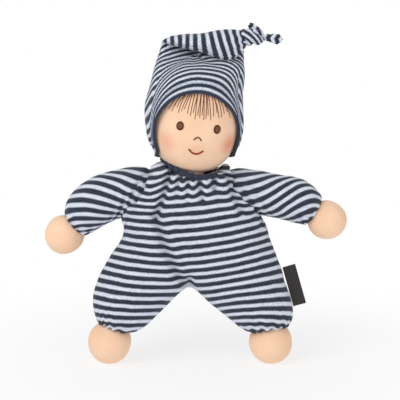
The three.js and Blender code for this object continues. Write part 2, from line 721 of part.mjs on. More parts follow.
add(turnedHead, 'hat_up_end', solidOf(upEnd), stripedKnit);

// The origin is under the middle of the whole doll, with the soles on the floor
const whole = new THREE.Box3().setFromObject(doll, true);
const middle = whole.getCenter(new THREE.Vector3());
doll.position.set(-middle.x, -middle.y, -whole.min.z);

export default doll;
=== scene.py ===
# %% [markdown]
# # A striped stuffed doll
# The doll is a knitted suit filled with wool, with ball hands and feet, an embroidered face and a knotted
# stocking hat. The rigid plan of it comes from the frame: bodies that turn about joints, and solids that
# hold the space. Here each soft piece gets its real form and finish, in the same place as its solid.

# %% Load the frame
import math
import bmesh
import bpy
import numpy as np
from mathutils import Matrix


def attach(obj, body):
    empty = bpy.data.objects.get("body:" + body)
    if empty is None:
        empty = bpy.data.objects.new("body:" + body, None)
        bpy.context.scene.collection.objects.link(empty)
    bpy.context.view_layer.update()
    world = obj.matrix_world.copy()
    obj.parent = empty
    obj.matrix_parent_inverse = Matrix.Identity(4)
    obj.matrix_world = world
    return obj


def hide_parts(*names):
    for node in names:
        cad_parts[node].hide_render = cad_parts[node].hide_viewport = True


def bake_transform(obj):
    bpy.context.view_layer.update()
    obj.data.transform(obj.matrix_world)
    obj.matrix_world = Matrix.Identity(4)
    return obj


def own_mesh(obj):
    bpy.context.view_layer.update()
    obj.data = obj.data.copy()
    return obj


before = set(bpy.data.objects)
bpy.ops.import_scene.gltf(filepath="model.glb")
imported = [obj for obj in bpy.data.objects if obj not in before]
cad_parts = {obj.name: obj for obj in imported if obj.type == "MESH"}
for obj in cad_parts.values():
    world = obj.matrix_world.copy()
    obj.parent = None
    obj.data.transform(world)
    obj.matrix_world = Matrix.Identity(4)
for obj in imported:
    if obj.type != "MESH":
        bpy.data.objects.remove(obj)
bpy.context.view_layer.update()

# %% [markdown]
# ## Measures
# All lengths are in millimetres about the doll's own middle, as they were measured. One function moves
# them into the frame, which is in metres and stands over the middle of the whole doll's box.

# %% Measures
MIDDLE = np.array([-3.0313, -1.1001, 0.0])
SHOULDER = np.array([37.5, 0.0, 124.7])
SHOULDER_RADIUS = 16.6
ARM_DROP = {1: 19.5, -1: 31.5}
HAND_RADIUS = 13.8
FOOT = np.array([57.4, 0.0, 14.4])
FOOT_RADIUS = 15.5
NECK = np.array([0.0, 0.0, 135.0])
HEAD = np.array([4.18, 0.0, 174.78])
SIDES = {1: "left", -1: "right"}
VIEW_AWAY, VIEW_TILT = 778.0, 8


def in_frame(points):
    """The doll's millimetres become the frame's metres: each point is moved by the middle, then scaled."""
    return (np.asarray(points, float) + MIDDLE) * 0.001


def turned(points, axis, degrees):
    """Points turned about the origin: the two coordinates beside the axis mix by the sine and cosine."""
    a = math.radians(degrees)
    c, s = math.cos(a), math.sin(a)
    tables = {"x": [[1, 0, 0], [0, c, -s], [0, s, c]], "y": [[c, 0, s], [0, 1, 0], [-s, 0, c]],
              "z": [[c, -s, 0], [s, c, 0], [0, 0, 1]]}
    return points @ np.array(tables[axis]).T


print("shoulder in the frame:", in_frame(SHOULDER).round(4))

# %% [markdown]
# ## Lines and skins
# Most pieces are a tube of rings. A ring has a middle, a half-width and a half-depth, and these come from
# outlines that were measured at a few heights, so a smooth line through few values is the main tool.

# %% Lines and skins
def eased(at, knots, values):
    """A smooth line through values: between two knots a cubic, whose end slopes are the mean slopes there."""
    knots, values = np.asarray(knots, float), np.asarray(values, float)
    slope = np.gradient(values, knots)
    k = np.clip(np.searchsorted(knots, at) - 1, 0, len(knots) - 2)
    span = knots[k + 1] - knots[k]
    t = np.clip((at - knots[k]) / span, 0, 1)
    start = (1 + 2 * t) * (1 - t) ** 2 * values[k] + t * (1 - t) ** 2 * span * slope[k]
    return start + t * t * (3 - 2 * t) * values[k + 1] + t * t * (t - 1) * span * slope[k + 1]


def step_up(value, low, high):
    """0 below low, 1 above high, and the smooth step 3t^2 - 2t^3 between them."""
    t = np.clip((value - low) / (high - low), 0, 1)
    return t * t * (3 - 2 * t)


def xyz(x, y, z):
    """Three coordinates make points along a last axis; a plain number is repeated for every point."""
    return np.stack(np.broadcast_arrays(x, y, z), -1)


def full_turn(count):
    """Evenly spaced angles of a whole turn, in radians, without the last one that meets the first."""
    return np.linspace(0, 2 * np.pi, count, endpoint=False)


def unit(lines):
    """Each direction divided by its own length."""
    return lines / np.linalg.norm(lines, axis=-1, keepdims=True)


def power_sum(terms, u, w):
    """The sum of c u^i w^j, where c stands at row i and place j of the terms."""
    return sum(c * u ** i * w ** j for i, line in enumerate(terms) for j, c in enumerate(line))


def rings(middle, across, deep, columns, squareness=2.0):
    """Superellipse rings: middle + across |cos|^(2/n) + deep |sin|^(2/n), each with its sign kept."""
    angle = full_turn(columns)[None, :, None]
    cos, sin = np.cos(angle), np.sin(angle)
    wide = np.sign(cos) * np.abs(cos) ** (2 / squareness)
    thick = np.sign(sin) * np.abs(sin) ** (2 / squareness)
    return middle[:, None, :] + across[:, None, :] * wide + deep[:, None, :] * thick


def level_rings(x, y, z, wide, thick, columns, squareness=2.0):
    """Level rings at the heights z about x and y, with these half-widths and half-depths."""
    return rings(xyz(x, y, z), xyz(wide, 0, 0), xyz(0, thick, 0), columns, squareness)


def upright_rings(x, y, top, low, thick, columns, squareness=2.0):
    """Upright rings along x about y: middle and half-height from an upper and a lower line."""
    return rings(xyz(x, y, (top + low) / 2), xyz(0, 0, (top - low) / 2), xyz(0, thick, 0), columns, squareness)


def new_piece(name, points, faces, closed=True):
    """A mesh object from points in millimetres; a closed one whose volume comes out negative is turned."""
    mesh = bpy.data.meshes.new(name)
    mesh.from_pydata(in_frame(points).tolist(), [], faces)
    shape = bmesh.new()
    shape.from_mesh(mesh)
    if closed and shape.calc_volume(signed=True) < 0:
        bmesh.ops.reverse_faces(shape, faces=shape.faces)
    shape.to_mesh(mesh)
    shape.free()
    mesh.shade_smooth()
    piece = bpy.data.objects.new(name, mesh)
    bpy.context.scene.collection.objects.link(piece)
    return piece


def squares(rows, columns, joined_rows=False, joined_columns=True):
    """The four corners of each square of a grid whose points are numbered row by row."""
    i = np.arange(rows if joined_rows else rows - 1)[:, None]
    j = np.arange(columns if joined_columns else columns - 1)[None, :]
    after, there = (i + 1) % rows, (j + 1) % columns
    made = [i * columns + j, i * columns + there, after * columns + there, after * columns + j]
    return np.stack(made, -1).reshape(-1, 4)


def skinned(name, grid):
    """Rings become one closed skin: squares between neighbouring rings, and a fan to a pole at each end."""
    rows, columns = grid.shape[:2]
    points = np.concatenate([grid.reshape(-1, 3), grid[0].mean(0)[None], grid[-1].mean(0)[None]])
    here = np.arange(columns)
    there = (here + 1) % columns
    last = (rows - 1) * columns
    low = xyz(there, here, rows * columns)
    high = xyz(last + here, last + there, rows * columns + 1)
    return new_piece(name, points, squares(rows, columns).tolist() + low.tolist() + high.tolist())


def corners(piece):
    """The piece's points as an array, in the doll's millimetres."""
    flat = np.empty(len(piece.data.vertices) * 3)
    piece.data.vertices.foreach_get("co", flat)
    return flat.reshape(-1, 3) * 1000 - MIDDLE


def normals(piece):
    """One outward direction for each point, as the mesh's faces give it."""
    flat = np.empty(len(piece.data.vertices) * 3)
    piece.data.vertex_normals.foreach_get("vector", flat)
    return flat.reshape(-1, 3)


def set_corners(piece, points):
    """The points go back into the mesh, in metres of the frame."""
    piece.data.vertices.foreach_set("co", in_frame(points).ravel())
    piece.data.update()


def raised(piece, height):
    """Each point moves by its height along the surface's own direction there."""
    set_corners(piece, corners(piece) + normals(piece) * height[:, None])


def number(piece, name, values):
    """A number at each point, kept in the mesh for its finish."""
    field = piece.data.attributes.new(name, "FLOAT", "POINT")
    field.data.foreach_set("value", np.asarray(values, np.float32))


def knit(piece, row, wale):
    """The two numbers that every knitted finish reads."""
    number(piece, "row", row)
    number(piece, "wale", wale)


def placed(piece, body, slot, *nodes, fill=None, look=None):
    """The piece gets its finish, rides on a body and stands for its solids. The fill is not used."""
    if look:
        piece.data.materials.append(look)
    if body:
        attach(piece, body)
    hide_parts(*nodes)
    return piece


def worked(piece, kind, **settings):
    """One modifier is added, worked out, and its result becomes the piece's own mesh."""
    step = piece.modifiers.new(kind, kind)
    for key, value in settings.items():
        setattr(step, key, value)
    graph = bpy.context.evaluated_depsgraph_get()
    made = bpy.data.meshes.new_from_object(piece.evaluated_get(graph))
    piece.modifiers.clear()
    old, piece.data = piece.data, made
    bpy.data.meshes.remove(old)
    return piece


def joined(piece, others):
    """Several skins become one object, still as loose shells."""
    with bpy.context.temp_override(active_object=piece, selected_editable_objects=[piece, *others]):
        bpy.ops.object.join()
    return piece


def drop(piece):
    """A helper shape leaves the scene, and its mesh with it."""
    mesh = piece.data
    bpy.data.objects.remove(piece)
    bpy.data.meshes.remove(mesh)


print("a line through 0, 1, 4 at 1.5:", eased(np.array([1.5]), [0, 1, 2], [0, 1, 4]))

# %% [markdown]
# ## Stuffing a cover
# Knit that is filled with wool swells between its seams. The cover is remeshed into even small squares,
# and the cloth solver blows it up a little from the inside. No point may go further than a cap, and the
# points near a tied edge are held, so the pieces keep the size that the plan gives them.

# %% Stuffing a cover
SWELL_STEPS = 14


def evened(piece, square, factor, rounds):
    """The skin is rebuilt from small squares, and each point then nears its neighbours' mean a few times."""
    worked(piece, "REMESH", mode="VOXEL", voxel_size=square)
    worked(piece, "SMOOTH", factor=factor, iterations=rounds)


def sphere_gap(points, centre, radius):
    """How far each point is outside a ball; negative inside it."""
    return np.linalg.norm(points - centre, axis=1) - radius


def stuffed(piece, cap, held):
    """The cover swells by cloth pressure: each move is shortened to the cap and to its share of freedom."""
    rest = corners(piece)
    swell = piece.modifiers.new("swell", "CLOTH")
    knit = {"quality": 4, "mass": 0.02, "tension_stiffness": 5, "compression_stiffness": 5,
            "shear_stiffness": 2, "bending_stiffness": 0.05, "use_pressure": True,
            "uniform_pressure_force": 4.0}
    for key, value in knit.items():
        setattr(swell.settings, key, value)
    swell.settings.effector_weights.gravity = 0
    swell.collision_settings.use_collision = False
    stage = bpy.context.scene
    for moment in range(1, SWELL_STEPS + 1):
        stage.frame_set(moment)
    graph = bpy.context.evaluated_depsgraph_get()
    soft = piece.evaluated_get(graph).data
    flat = np.empty(len(soft.vertices) * 3)
    soft.vertices.foreach_get("co", flat)
    move = flat.reshape(-1, 3) * 1000 - MIDDLE - rest
    piece.modifiers.clear()
    stage.frame_set(1)
    reach = np.linalg.norm(move, axis=1, keepdims=True)
    print(piece.name, "swells by up to", round(float(reach.max()), 2), "mm before the cap")
    move *= np.minimum(1, cap / np.maximum(reach, 1e-6)) * held(rest)[:, None]
    set_corners(piece, rest + move)
    return worked(piece, "SUBSURF", levels=1, render_levels=1)


# %% [markdown]
# ## Shader sums in plain Python
# A material is a small sum over the surface: where am I in the stitches, which stripe is this, how deep is
# the yarn here. The class below wraps one socket, so that such a sum can be written as it is said.

# %% Shader sums in plain Python
class Sum:
    """A socket that can be added to, multiplied and compared, each time with one Math node."""

    def __init__(self, tree, socket):
        self.tree, self.socket = tree, socket

    def node(self, kind, settings=None, **values):
        """Any node: its settings are set first, then its inputs by name, from numbers or other sums."""
        made = self.tree.nodes.new(kind)
        for key, value in (settings or {}).items():
            setattr(made, key, value)
        for key, value in values.items():
            place = made.inputs[int(key[1:])] if key[0] == "n" and key[1:].isdigit() else made.inputs[key]
            if isinstance(value, Sum):
                self.tree.links.new(value.socket, place)
            else:
                place.default_value = value
        return made

    def maths(self, operation, *terms, clamp=False):
        made = self.node("ShaderNodeMath", {"operation": operation, "use_clamp": clamp},
                         **{f"n{i}": term for i, term in enumerate(terms)})
        return Sum(self.tree, made.outputs[0])

    def __add__(self, other): return self.maths("ADD", self, other)
    def __sub__(self, other): return self.maths("SUBTRACT", self, other)
    def __rsub__(self, other): return self.maths("SUBTRACT", other, self)
    def __mul__(self, other): return self.maths("MULTIPLY", self, other)

    def part(self):
        """What is left over a whole number."""
        return self.maths("FRACT", self)

    def size(self):
        """The same without its sign."""
        return self.maths("ABSOLUTE", self)

    def wave(self):
        """The sine of this many radians."""
        return self.maths("SINE", self)

    def step(self, low, high):
        """0 to 1 between two values, smoothly."""
        made = self.node("ShaderNodeMapRange", {"interpolation_type": "SMOOTHSTEP"},
                         Value=self, **{"From Min": low, "From Max": high})
        return Sum(self.tree, made.outputs["Result"])

    def blend(self, first, second):
        """A colour between two colours, by this share."""
        made = self.node("ShaderNodeMix", {"data_type": "RGBA"}, n0=self, n6=first, n7=second)
        return Sum(self.tree, made.outputs[2])


def colour(red, green, blue):
    """Screen values of 0 to 255 become the linear light values that shaders use."""
    screen = np.array([red, green, blue]) / 255
    light = np.where(screen <= 0.04045, screen / 12.92, ((screen + 0.055) / 1.055) ** 2.4)
    return (*light.round(4).tolist(), 1.0)


def finish(name, roughness, sheen=0.0):
    """A new material: its shader, and a first sum to work from."""
    made = bpy.data.materials.new(name)
    made.use_nodes = True
    shader = made.node_tree.nodes["Principled BSDF"]
    shader.inputs["Roughness"].default_value = roughness
    shader.inputs["Specular IOR Level"].default_value = 0.18
    shader.inputs["Sheen Weight"].default_value = sheen
    return made, shader, Sum(made.node_tree, shader.inputs["Alpha"])


def attribute(start, name):
    """A number that the mesh carries at each point."""
    made = start.node("ShaderNodeAttribute", {"attribute_type": "GEOMETRY", "attribute_name": name})
    return Sum(start.tree, made.outputs["Fac"])


def own_place(start):
    """Where a point is in the piece's own coordinates."""
    return Sum(start.tree, start.node("ShaderNodeTexCoord").outputs["Object"])


def grain(start, scale, detail=2.0):
    """Cloudy noise of the piece's own coordinates, about 0.5 on average; scale is per metre."""
    made = start.node("ShaderNodeTexNoise", None, Vector=own_place(start), Scale=scale, Detail=detail)
    return Sum(start.tree, made.outputs[0])


def relief(start, shader, height, depth):
    """A height in shares of a depth in metres, turned into a Bump on the shader's normal."""
    made = start.node("ShaderNodeBump", None, Height=height, Distance=depth, Strength=1.0)
    start.tree.links.new(made.outputs[0], shader.inputs["Normal"])


def paint(start, shader, colour_sum):
    """A sum becomes the shader's colour."""
    start.tree.links.new(colour_sum.socket, shader.inputs["Base Color"])


# %% [markdown]
# ## Knitted finishes
# The suit and hat are a fine jersey whose yarn changes colour every few rows, a little more navy than pale
# blue in each six millimetres. Each mesh carries two numbers: row, the height along the knitting, and
# wale, the place across it. The stitches are small V shapes, so a stripe's edge is very slightly toothed.

# %% Knitted finishes
WALE, COURSE, STRIPE = 1.05, 0.75, 6.0
YARN_DEPTH = 0.00016
NAVY, PALE = colour(32, 37, 48), colour(225, 230, 239)


def stitches(start, row, wale):
    """How high the yarn is: columns of V stitches, as two waves that lean on each other."""
    column = (wale * (1 / WALE)).part() - 0.5
    lean = column.size() * 1.1
    loop = ((row * (1 / COURSE) + lean) * (2 * math.pi)).wave() * 0.5 + 0.5
    ridge = 1 - (column.size() * 2 - 0.5).size() * 0.9 - 0.2
    return ridge * 0.6 + loop * 0.4, column


def striped_knit():
    """Stripe = the part of row / 6 mm: 0.28 either side of a whole number is navy, and the rest is pale."""
    made, shader, start = finish("striped_knit", 0.92, 0.12)
    row, wale = attribute(start, "row"), attribute(start, "wale")
    height, column = stitches(start, row, wale)
    uneven = (grain(start, 90.0) - 0.5) * 1.1 + (grain(start, 900.0) - 0.5) * 0.5
    tooth = (column.size() - 0.25) * 1.7
    place = ((row + tooth + uneven) * (1 / STRIPE) + 0.5).part() - 0.5
    pale = place.size().step(0.268, 0.302)
    yarn = grain(start, 1150.0)
    navy = yarn.step(0.3, 0.75).blend(NAVY, colour(62, 68, 86))
    light = yarn.step(0.25, 0.7).blend(colour(190, 197, 213), PALE)
    # Painted shade: the low parts of each stitch get darker copies of the navy and the pale, the crests the yarns'
    # own colours.
    stitch_shaded_stripes = height.step(0.05, 0.5).blend(pale.blend(colour(24, 27, 38), colour(180, 188, 206)),
                                        pale.blend(navy, light))
    # Painted shade: the deeper a point lies in a fold, the nearer its colour comes to a near-black navy, up to 42
    # percent of the way.
    shade = attribute(start, "painted_fold_shade") * 0.42
    paint(start, shader, shade.blend(stitch_shaded_stripes, colour(26, 29, 40)))
    relief(start, shader, height + yarn * 0.35, YARN_DEPTH)
    return made


def plain_knit(name, dark, light):
    """One colour of the same knit: the stitches alone, darker in their low parts as painted shade, with a little
    change in the yarn.
    """
    made, shader, start = finish(name, 0.92, 0.12)
    height, _ = stitches(start, attribute(start, "row"), attribute(start, "wale"))
    yarn = grain(start, 1400.0)
    # Partly painted shade: the colour goes from the dark to the light value mostly with stitch height, and partly
    # with the yarn's own noise.
    paint(start, shader, (height * 0.7 + yarn * 0.3).step(0.1, 0.75).blend(dark, light))
    relief(start, shader, height + yarn * 0.35, YARN_DEPTH)
    return made


STRIPED = striped_knit()
NAVY_KNIT = plain_knit("navy_knit", colour(27, 31, 45), colour(56, 63, 84))
print("a stripe pair of", STRIPE, "mm, stitches", WALE, "by", COURSE, "mm")

# %% [markdown]
# ## Skin finish
# The head, hands and feet are a fine cotton jersey in a skin colour. Its stitches are too small to see
# as such: they are a soft grain. The cheeks are rubbed with a little dye, as two soft round patches.

# %% Skin finish
def skin_finish(name, cheeks=()):
    """Warm cotton: fine grain lightens and darkens it; a cheek is 1 at its middle and fades with distance."""
    made, shader, start = finish(name, 0.85, 0.15)
    fine = grain(start, 2600.0, 1.0)
    cloudy = grain(start, 60.0)
    base = (fine * 0.65 + cloudy * 0.35).step(0.32, 0.68).blend(colour(234, 193, 159), colour(246, 210, 180))
    spot = own_place(start)
    for centre, radius, strength in cheeks:
        away = start.node("ShaderNodeVectorMath", {"operation": "DISTANCE"}, n0=spot, n1=tuple(centre))
        share = (1 - Sum(start.tree, away.outputs["Value"]).step(0.0, radius)) * strength
        base = share.blend(base, colour(222, 118, 92))
    paint(start, shader, base)
    relief(start, shader, fine + grain(start, 700.0) * 0.5, 0.00009)
    return made


# %% [markdown]
# ## The suit's body
# The suit is cut as one bag: chest, seat and two short wide legs. Its outline was measured on both sides
# at a few heights, and each height gets one ring, squarer than an ellipse because the bag is sewn from a
# front and a back. The legs are two more tubes. A fine remesh makes one skin of the three.

# %% The suit's body
def flat_tube(name, heights, outer, inner, depth, rows, columns, squareness):
    """Level rings from an outer and an inner outline: middle = their mean, half-width = half their gap."""
    z = np.linspace(heights[0], heights[-1], rows)
    far, near, thick = (eased(z, heights, values) for values in (outer, inner, depth))
    if isinstance(squareness, list):
        squareness = eased(z, heights, squareness)[:, None, None]
    return skinned(name, level_rings((far + near) / 2, 0, z, (far - near) / 2, thick, columns, squareness))


SUIT_SQUARE = 0.0018
chest_heights = [54.5, 56, 59, 64.5, 72, 79.5, 86, 93, 99, 105, 112, 120, 128, 134, 139, 142, 143.5]
chest_left = [50, 60, 67, 67.6, 65, 61.8, 58.6, 55.4, 54, 53, 50.5, 47, 42.5, 38, 31, 24.5, 17]
chest_right = [-50, -60, -66, -64.8, -61, -56.6, -51.4, -48, -47.6, -49, -48.5, -45.5, -41.5, -37, -30.5, -24.5, -17]
chest_depth = [8, 13, 17, 18.8, 19.4, 19.8, 20, 20, 19.8, 19.4, 19, 18.6, 18, 17, 14.4, 11.4, 7]
chest_corner = [2.4, 2.4, 2.4, 2.5, 2.5, 2.5, 2.6, 2.8, 3.2, 3.8, 4.4, 4.6, 4.4, 3.8, 3, 2.5, 2.2]
body = flat_tube("suit", chest_heights, chest_left, chest_right, chest_depth, 70, 96, chest_corner)
leg_heights = [22.2, 22.8, 24, 27.5, 31.5, 37, 43, 50, 54, 58, 64, 72, 79]
leg_outer = {1: [52, 60, 65, 70.8, 73.2, 74, 73.4, 71.8, 70.4, 69.2, 66.6, 62, 50],
             -1: [47, 55, 59.5, 63.8, 66.8, 69.2, 70, 69.6, 68.6, 67.2, 63.5, 57, 45]}
leg_inner = {1: [46, 40.5, 37, 31.8, 27.2, 20.8, 13.2, 5.2, 0.4, -3, -3, 5, 30],
             -1: [44, 39, 35.6, 29.6, 25.4, 20, 14.4, 6.8, 0.6, -3, -3, 5, 30]}
leg_depth = [4, 9, 11.5, 14.8, 16.6, 18, 18.8, 19.2, 19.2, 19, 17, 13, 5]
legs = []
for side in SIDES:
    far, near = ([side * v for v in values[side]] for values in (leg_outer, leg_inner))
    legs.append(flat_tube(f"leg_{side}", leg_heights, far, near, leg_depth, 48, 72, 2.2))
joined(body, legs)
evened(body, SUIT_SQUARE, 0.5, 5)
print("suit:", len(body.data.vertices), "points")

# %% [markdown]
# ## Room for head, arms and feet
# The chin sits in a shallow bowl at the top, each sleeve's round head in a socket, and each foot's ball in
# a cup. The bag ends flat at each arm seam. The bowl, sockets and cups are cut out of it as solids,
# and a second remesh rounds that edge as a seam would.

# %% Room for head, arms and feet
def ball(name, centre, radii, columns=48):
    """A closed ellipsoid: rings whose radius is the cosine and whose height the sine of the latitude."""
    angle = np.linspace(-np.pi / 2, np.pi / 2, columns // 2 + 1)[1:-1]
    (x, y, z), (wide, thick, high) = centre, radii
    return skinned(name, level_rings(x, y, z + high * np.sin(angle), wide * np.cos(angle),
                                     thick * np.cos(angle), columns))


def cut(piece, cutters):
    """Each cutter is taken away from the piece, and then leaves the scene."""
    for cutter in cutters:
        worked(piece, "BOOLEAN", operation="DIFFERENCE", object=cutter, solver="EXACT")
        drop(cutter)
    return piece


def trimmed(points):
    """Beyond an arm seam's plane a point drops back on the plane: p - d n, with d its distance outside."""
    out = points.copy()
    for side in SIDES:
        way = SEAM_OUT * [side, 1, 1]
        beyond = np.maximum((out - SHOULDER * [side, 1, 1]) @ way, 0) * (out[:, 2] > 90)
        out -= beyond[:, None] * way
    return out


SEAM_OUT, SEAM_UP = np.array([0.84, 0.0, 0.543]), np.array([-0.543, 0, 0.84])
SOCKET_GAP, BALL_GAP, HELD_GAP = 0.5, 0.35, 0.4
room = [ball("neck_room", NECK + [0, 0, 3], [13, 13, 7])]
for nod in (-15, 0, 15):
    chin = ball("chin_room", [NECK[0] + 3.9, 0, NECK[2] + 37.2], [33.5, 34, 38.9])
    set_corners(chin, turned(corners(chin) - NECK, "x", nod) + NECK)
    room.append(chin)
for side in SIDES:
    centre = SHOULDER * [side, 1, 1]
    room.append(ball("socket", centre, [SHOULDER_RADIUS + SOCKET_GAP] * 3))
    room.append(ball("foot_room", FOOT * [side, 1, 1], [FOOT_RADIUS + BALL_GAP] * 3))
set_corners(body, trimmed(corners(body)))
worked(body, "REMESH", mode="VOXEL", voxel_size=SUIT_SQUARE)
cut(body, room)
evened(body, SUIT_SQUARE, 0.4, 3)
print("suit after the cuts:", len(body.data.vertices), "points")


def suit_freedom(points):
    """How free a point of the suit is to swell: 0 at the bowl, the sockets and the cups, 1 beyond 7 mm."""
    free = np.ones(len(points))
    for side in SIDES:
        free *= step_up(sphere_gap(points, FOOT * [side, 1, 1], FOOT_RADIUS + HELD_GAP), 0.4, 7)
        free *= step_up(sphere_gap(points, SHOULDER * [side, 1, 1], SHOULDER_RADIUS + SOCKET_GAP), 0.4, 6)
        free *= step_up(-((points * [side, 1, 1] - SHOULDER) @ SEAM_OUT), 0, 5)
    return free * step_up(140 - points[:, 2], 0, 12)


stuffed(body, 1.6, suit_freedom)
print("suit after stuffing:", len(body.data.vertices), "points")

# %% [markdown]
# ## Stripes of the suit
# The rows of a stuffed bag aren't level: they sag between the legs and climb to the sides. Seen from the
# front their height is a smooth formula, a polynomial of the place across and up, fitted to the
# real rows. The back mirrors the front, as both were cut from one cloth.

# %% Stripes of the suit
def seen_from_front(points):
    """Where a point appears from the front, in millimetres at the doll: a camera 778 mm away, 8 degrees up."""
    tilt = math.radians(VIEW_TILT)
    x, y, z = points[:, 0] - 7.0, -np.sqrt(points[:, 1] ** 2 + 6), points[:, 2] - 116.5
    up = y * math.sin(tilt) + z * math.cos(tilt)
    depth = VIEW_AWAY + y * math.cos(tilt) - z * math.sin(tilt)
    return 7.0 + x * VIEW_AWAY / depth, 116.2 + up * VIEW_AWAY / depth


ROW_TERMS = [[-47.34, 50.77, -2.11, 1.48], [-5.26, -0.6, -4.3, -1.5], [-12.82, 3.7, 21.06, 8.95],
             [1.92, -1.07, 2.88, 0], [1.21, -0.16, 0, 0]]


def suit_rows(points):
    """Row = a power sum of u = across / 70 and w = (up - 90) / 50, and a dip at the crotch."""
    x, z = seen_from_front(points)
    u, w = np.clip(x / 70, -1.15, 1.15), np.clip((z - 90) / 50, -1.5, 1.2)
    row = power_sum(ROW_TERMS, u, w)
    fold = 1 / (1 + np.exp((66 - z) / 4)) / (1 + np.exp((z - 132) / 5))
    line = x + 24 - (111 - z) * 0.4
    row += fold * (0.52 / (1 + np.exp(-line / 2.5)) + 1.16 * np.exp(-(line / 5) ** 2))
    middle = np.sqrt((x + 1) ** 2 + 4)
    row -= 1.73 * np.exp(-middle / 7) * np.exp(-((z - 55) / 12) ** 2)
    return row - 1.58 * np.sqrt((x + 1) ** 2 + 9) / 70 / (1 + np.exp((z - 80) / 8))


points = corners(body)
rows_before_folds = suit_rows(points)
x, y, z = points.T
number(body, "wale", x + np.sign(y) * 200 + np.arctan2(y / 20, x / 60) * 4)
print("rows from", rows_before_folds.min().round(1), "to", rows_before_folds.max().round(1))

# %% [markdown]
# ## Gathers and folds of the suit
# The neck, the leg hems and the arm seams are drawn in by thread, so small folds run out from them. One
# soft crease falls from the collar across the doll's right side. All are moves along the surface's
# own direction, small enough to leave the outline as it is. In a fold the stripes bend a little too, since
# the fold takes up cloth, and one more number says how deep a point lies in a fold; the striped finish
# darkens the cloth by it as painted shade.

# %% Gathers and folds of the suit
def gathers(points, centre, count, depth, reach, edge, phase=0.0):
    """Folds round a centre: a cosine of the angle seen from the axis, fading as e^(-distance / reach)."""
    away = points - centre
    angle = np.arctan2(away[:, 1], away[:, 0])
    distance = np.maximum(np.linalg.norm(away, axis=1) - edge, 0)
    waver = count * angle + 1.3 * np.sin(3 * angle + phase) + phase
    return depth * np.cos(waver) * np.exp(-distance / reach)


def crease(points, path, width, depth):
    """A valley along a path seen from the front: depth e^(-(distance / width)^2), on the front only."""
    best = np.full(len(points), 1e9)
    for start, end in zip(path[:-1], path[1:]):
        start, end = np.array(start, float), np.array(end, float)
        line = end - start
        flat = points[:, [0, 2]] - start
        t = np.clip(flat @ line / (line @ line), 0, 1)
        best = np.minimum(best, np.linalg.norm(flat - t[:, None] * line, axis=1))
    return -depth * np.exp(-(best / width) ** 2) * step_up(-points[:, 1], 2, 10)


def seam_dip(points, side):
    """The arm seam pulls the cloth in: a shallow valley and fine puckers beside the seam's plane."""
    away = points * [side, 1, 1] - SHOULDER
    beside = -(away @ SEAM_OUT)
    along = np.arctan2(away[:, 1], away @ SEAM_UP)
    near = np.linalg.norm(away, axis=1) < 32
    return near * np.exp(-np.abs(beside) / 3.4) * (-1.0 + 0.6 * np.cos(22 * along))


CREASES = [([(-13, 141), (-15.5, 131), (-20, 117), (-23, 108)], 2.2, 2.0),
           ([(-24, 108), (-18, 88), (-8, 66), (-2, 56)], 3.6, 1.5),
           ([(-21, 143), (-24, 133), (-31, 118)], 4.0, -0.9),
           ([(20, 141), (17.5, 134), (16, 128)], 1.9, 1.4),
           ([(26, 136), (29, 124), (36, 110)], 2.4, 1.3),
           ([(8, 138), (7.5, 130), (9, 120)], 1.8, 1.0),
           ([(0, 57), (0, 64)], 2.5, 1.6)]
points = corners(body)
x, y, z = points.T
move = gathers(points, [2.5, 0, 141], 17, 1.35, 10, 22, 0.6)
move *= step_up(z, 108, 132) * step_up(np.hypot(x - 3, y * 1.3), 15, 21)
for side in SIDES:
    hem = gathers(points, FOOT * [side, 1, 1], 15, 0.95, 5.5, FOOT_RADIUS + HELD_GAP, side)
    move += hem * step_up(sphere_gap(points, FOOT * [side, 1, 1], FOOT_RADIUS), 0.2, 1.6)
    move += seam_dip(points, side)
for fold in CREASES:
    move += crease(points, *fold)
long_fold = crease(points, *CREASES[1])
slow = np.sin(x / 9 + 1) * np.sin(z / 13 + y / 11) * 0.6
raised(body, move + slow * suit_freedom(points))
number(body, "row", rows_before_folds + 1.1 * move - 0.8 * long_fold)
# How deep each point lies in a fold, 0 to 1, which the striped finish darkens as painted shade.
number(body, "painted_fold_shade", np.clip(-move / 1.6, 0, 1))
print("folds move the cloth by", move.min().round(2), "to", move.max().round(2), "mm")

# %% [markdown]
# ## Three parts of one cloth
# Each leg turns at the hip, and a piece may follow two bodies only, so the suit is parted into the chest
# and two sides of the seat. They meet where the cloth doesn't move, and keep the normals of the whole
# cloth, so no line shows.

# %% Three parts of one cloth
def parted(piece, name, keep):
    """A copy with only the faces whose middle passes the test, and with the whole cloth's normals."""
    part = piece.copy()
    part.data = piece.data.copy()
    part.name = part.data.name = name
    bpy.context.scene.collection.objects.link(part)
    shape = bmesh.new()
    shape.from_mesh(part.data)
    layer = shape.verts.layers.float_vector.new("whole_normal")
    for vertex in shape.verts:
        vertex[layer] = vertex.normal
    away = [face for face in shape.faces if not keep(face.calc_center_median() * 1000)]
    bmesh.ops.delete(shape, geom=away, context="FACES")
    shape.to_mesh(part.data)
    shape.free()
    field = part.data.attributes["whole_normal"]
    flat = np.empty(len(part.data.vertices) * 3, np.float32)
    field.data.foreach_get("vector", flat)
    part.data.attributes.remove(field)
    part.data.shade_smooth()
    part.data.normals_split_custom_set_from_vertices(flat.reshape(-1, 3).tolist())
    return part


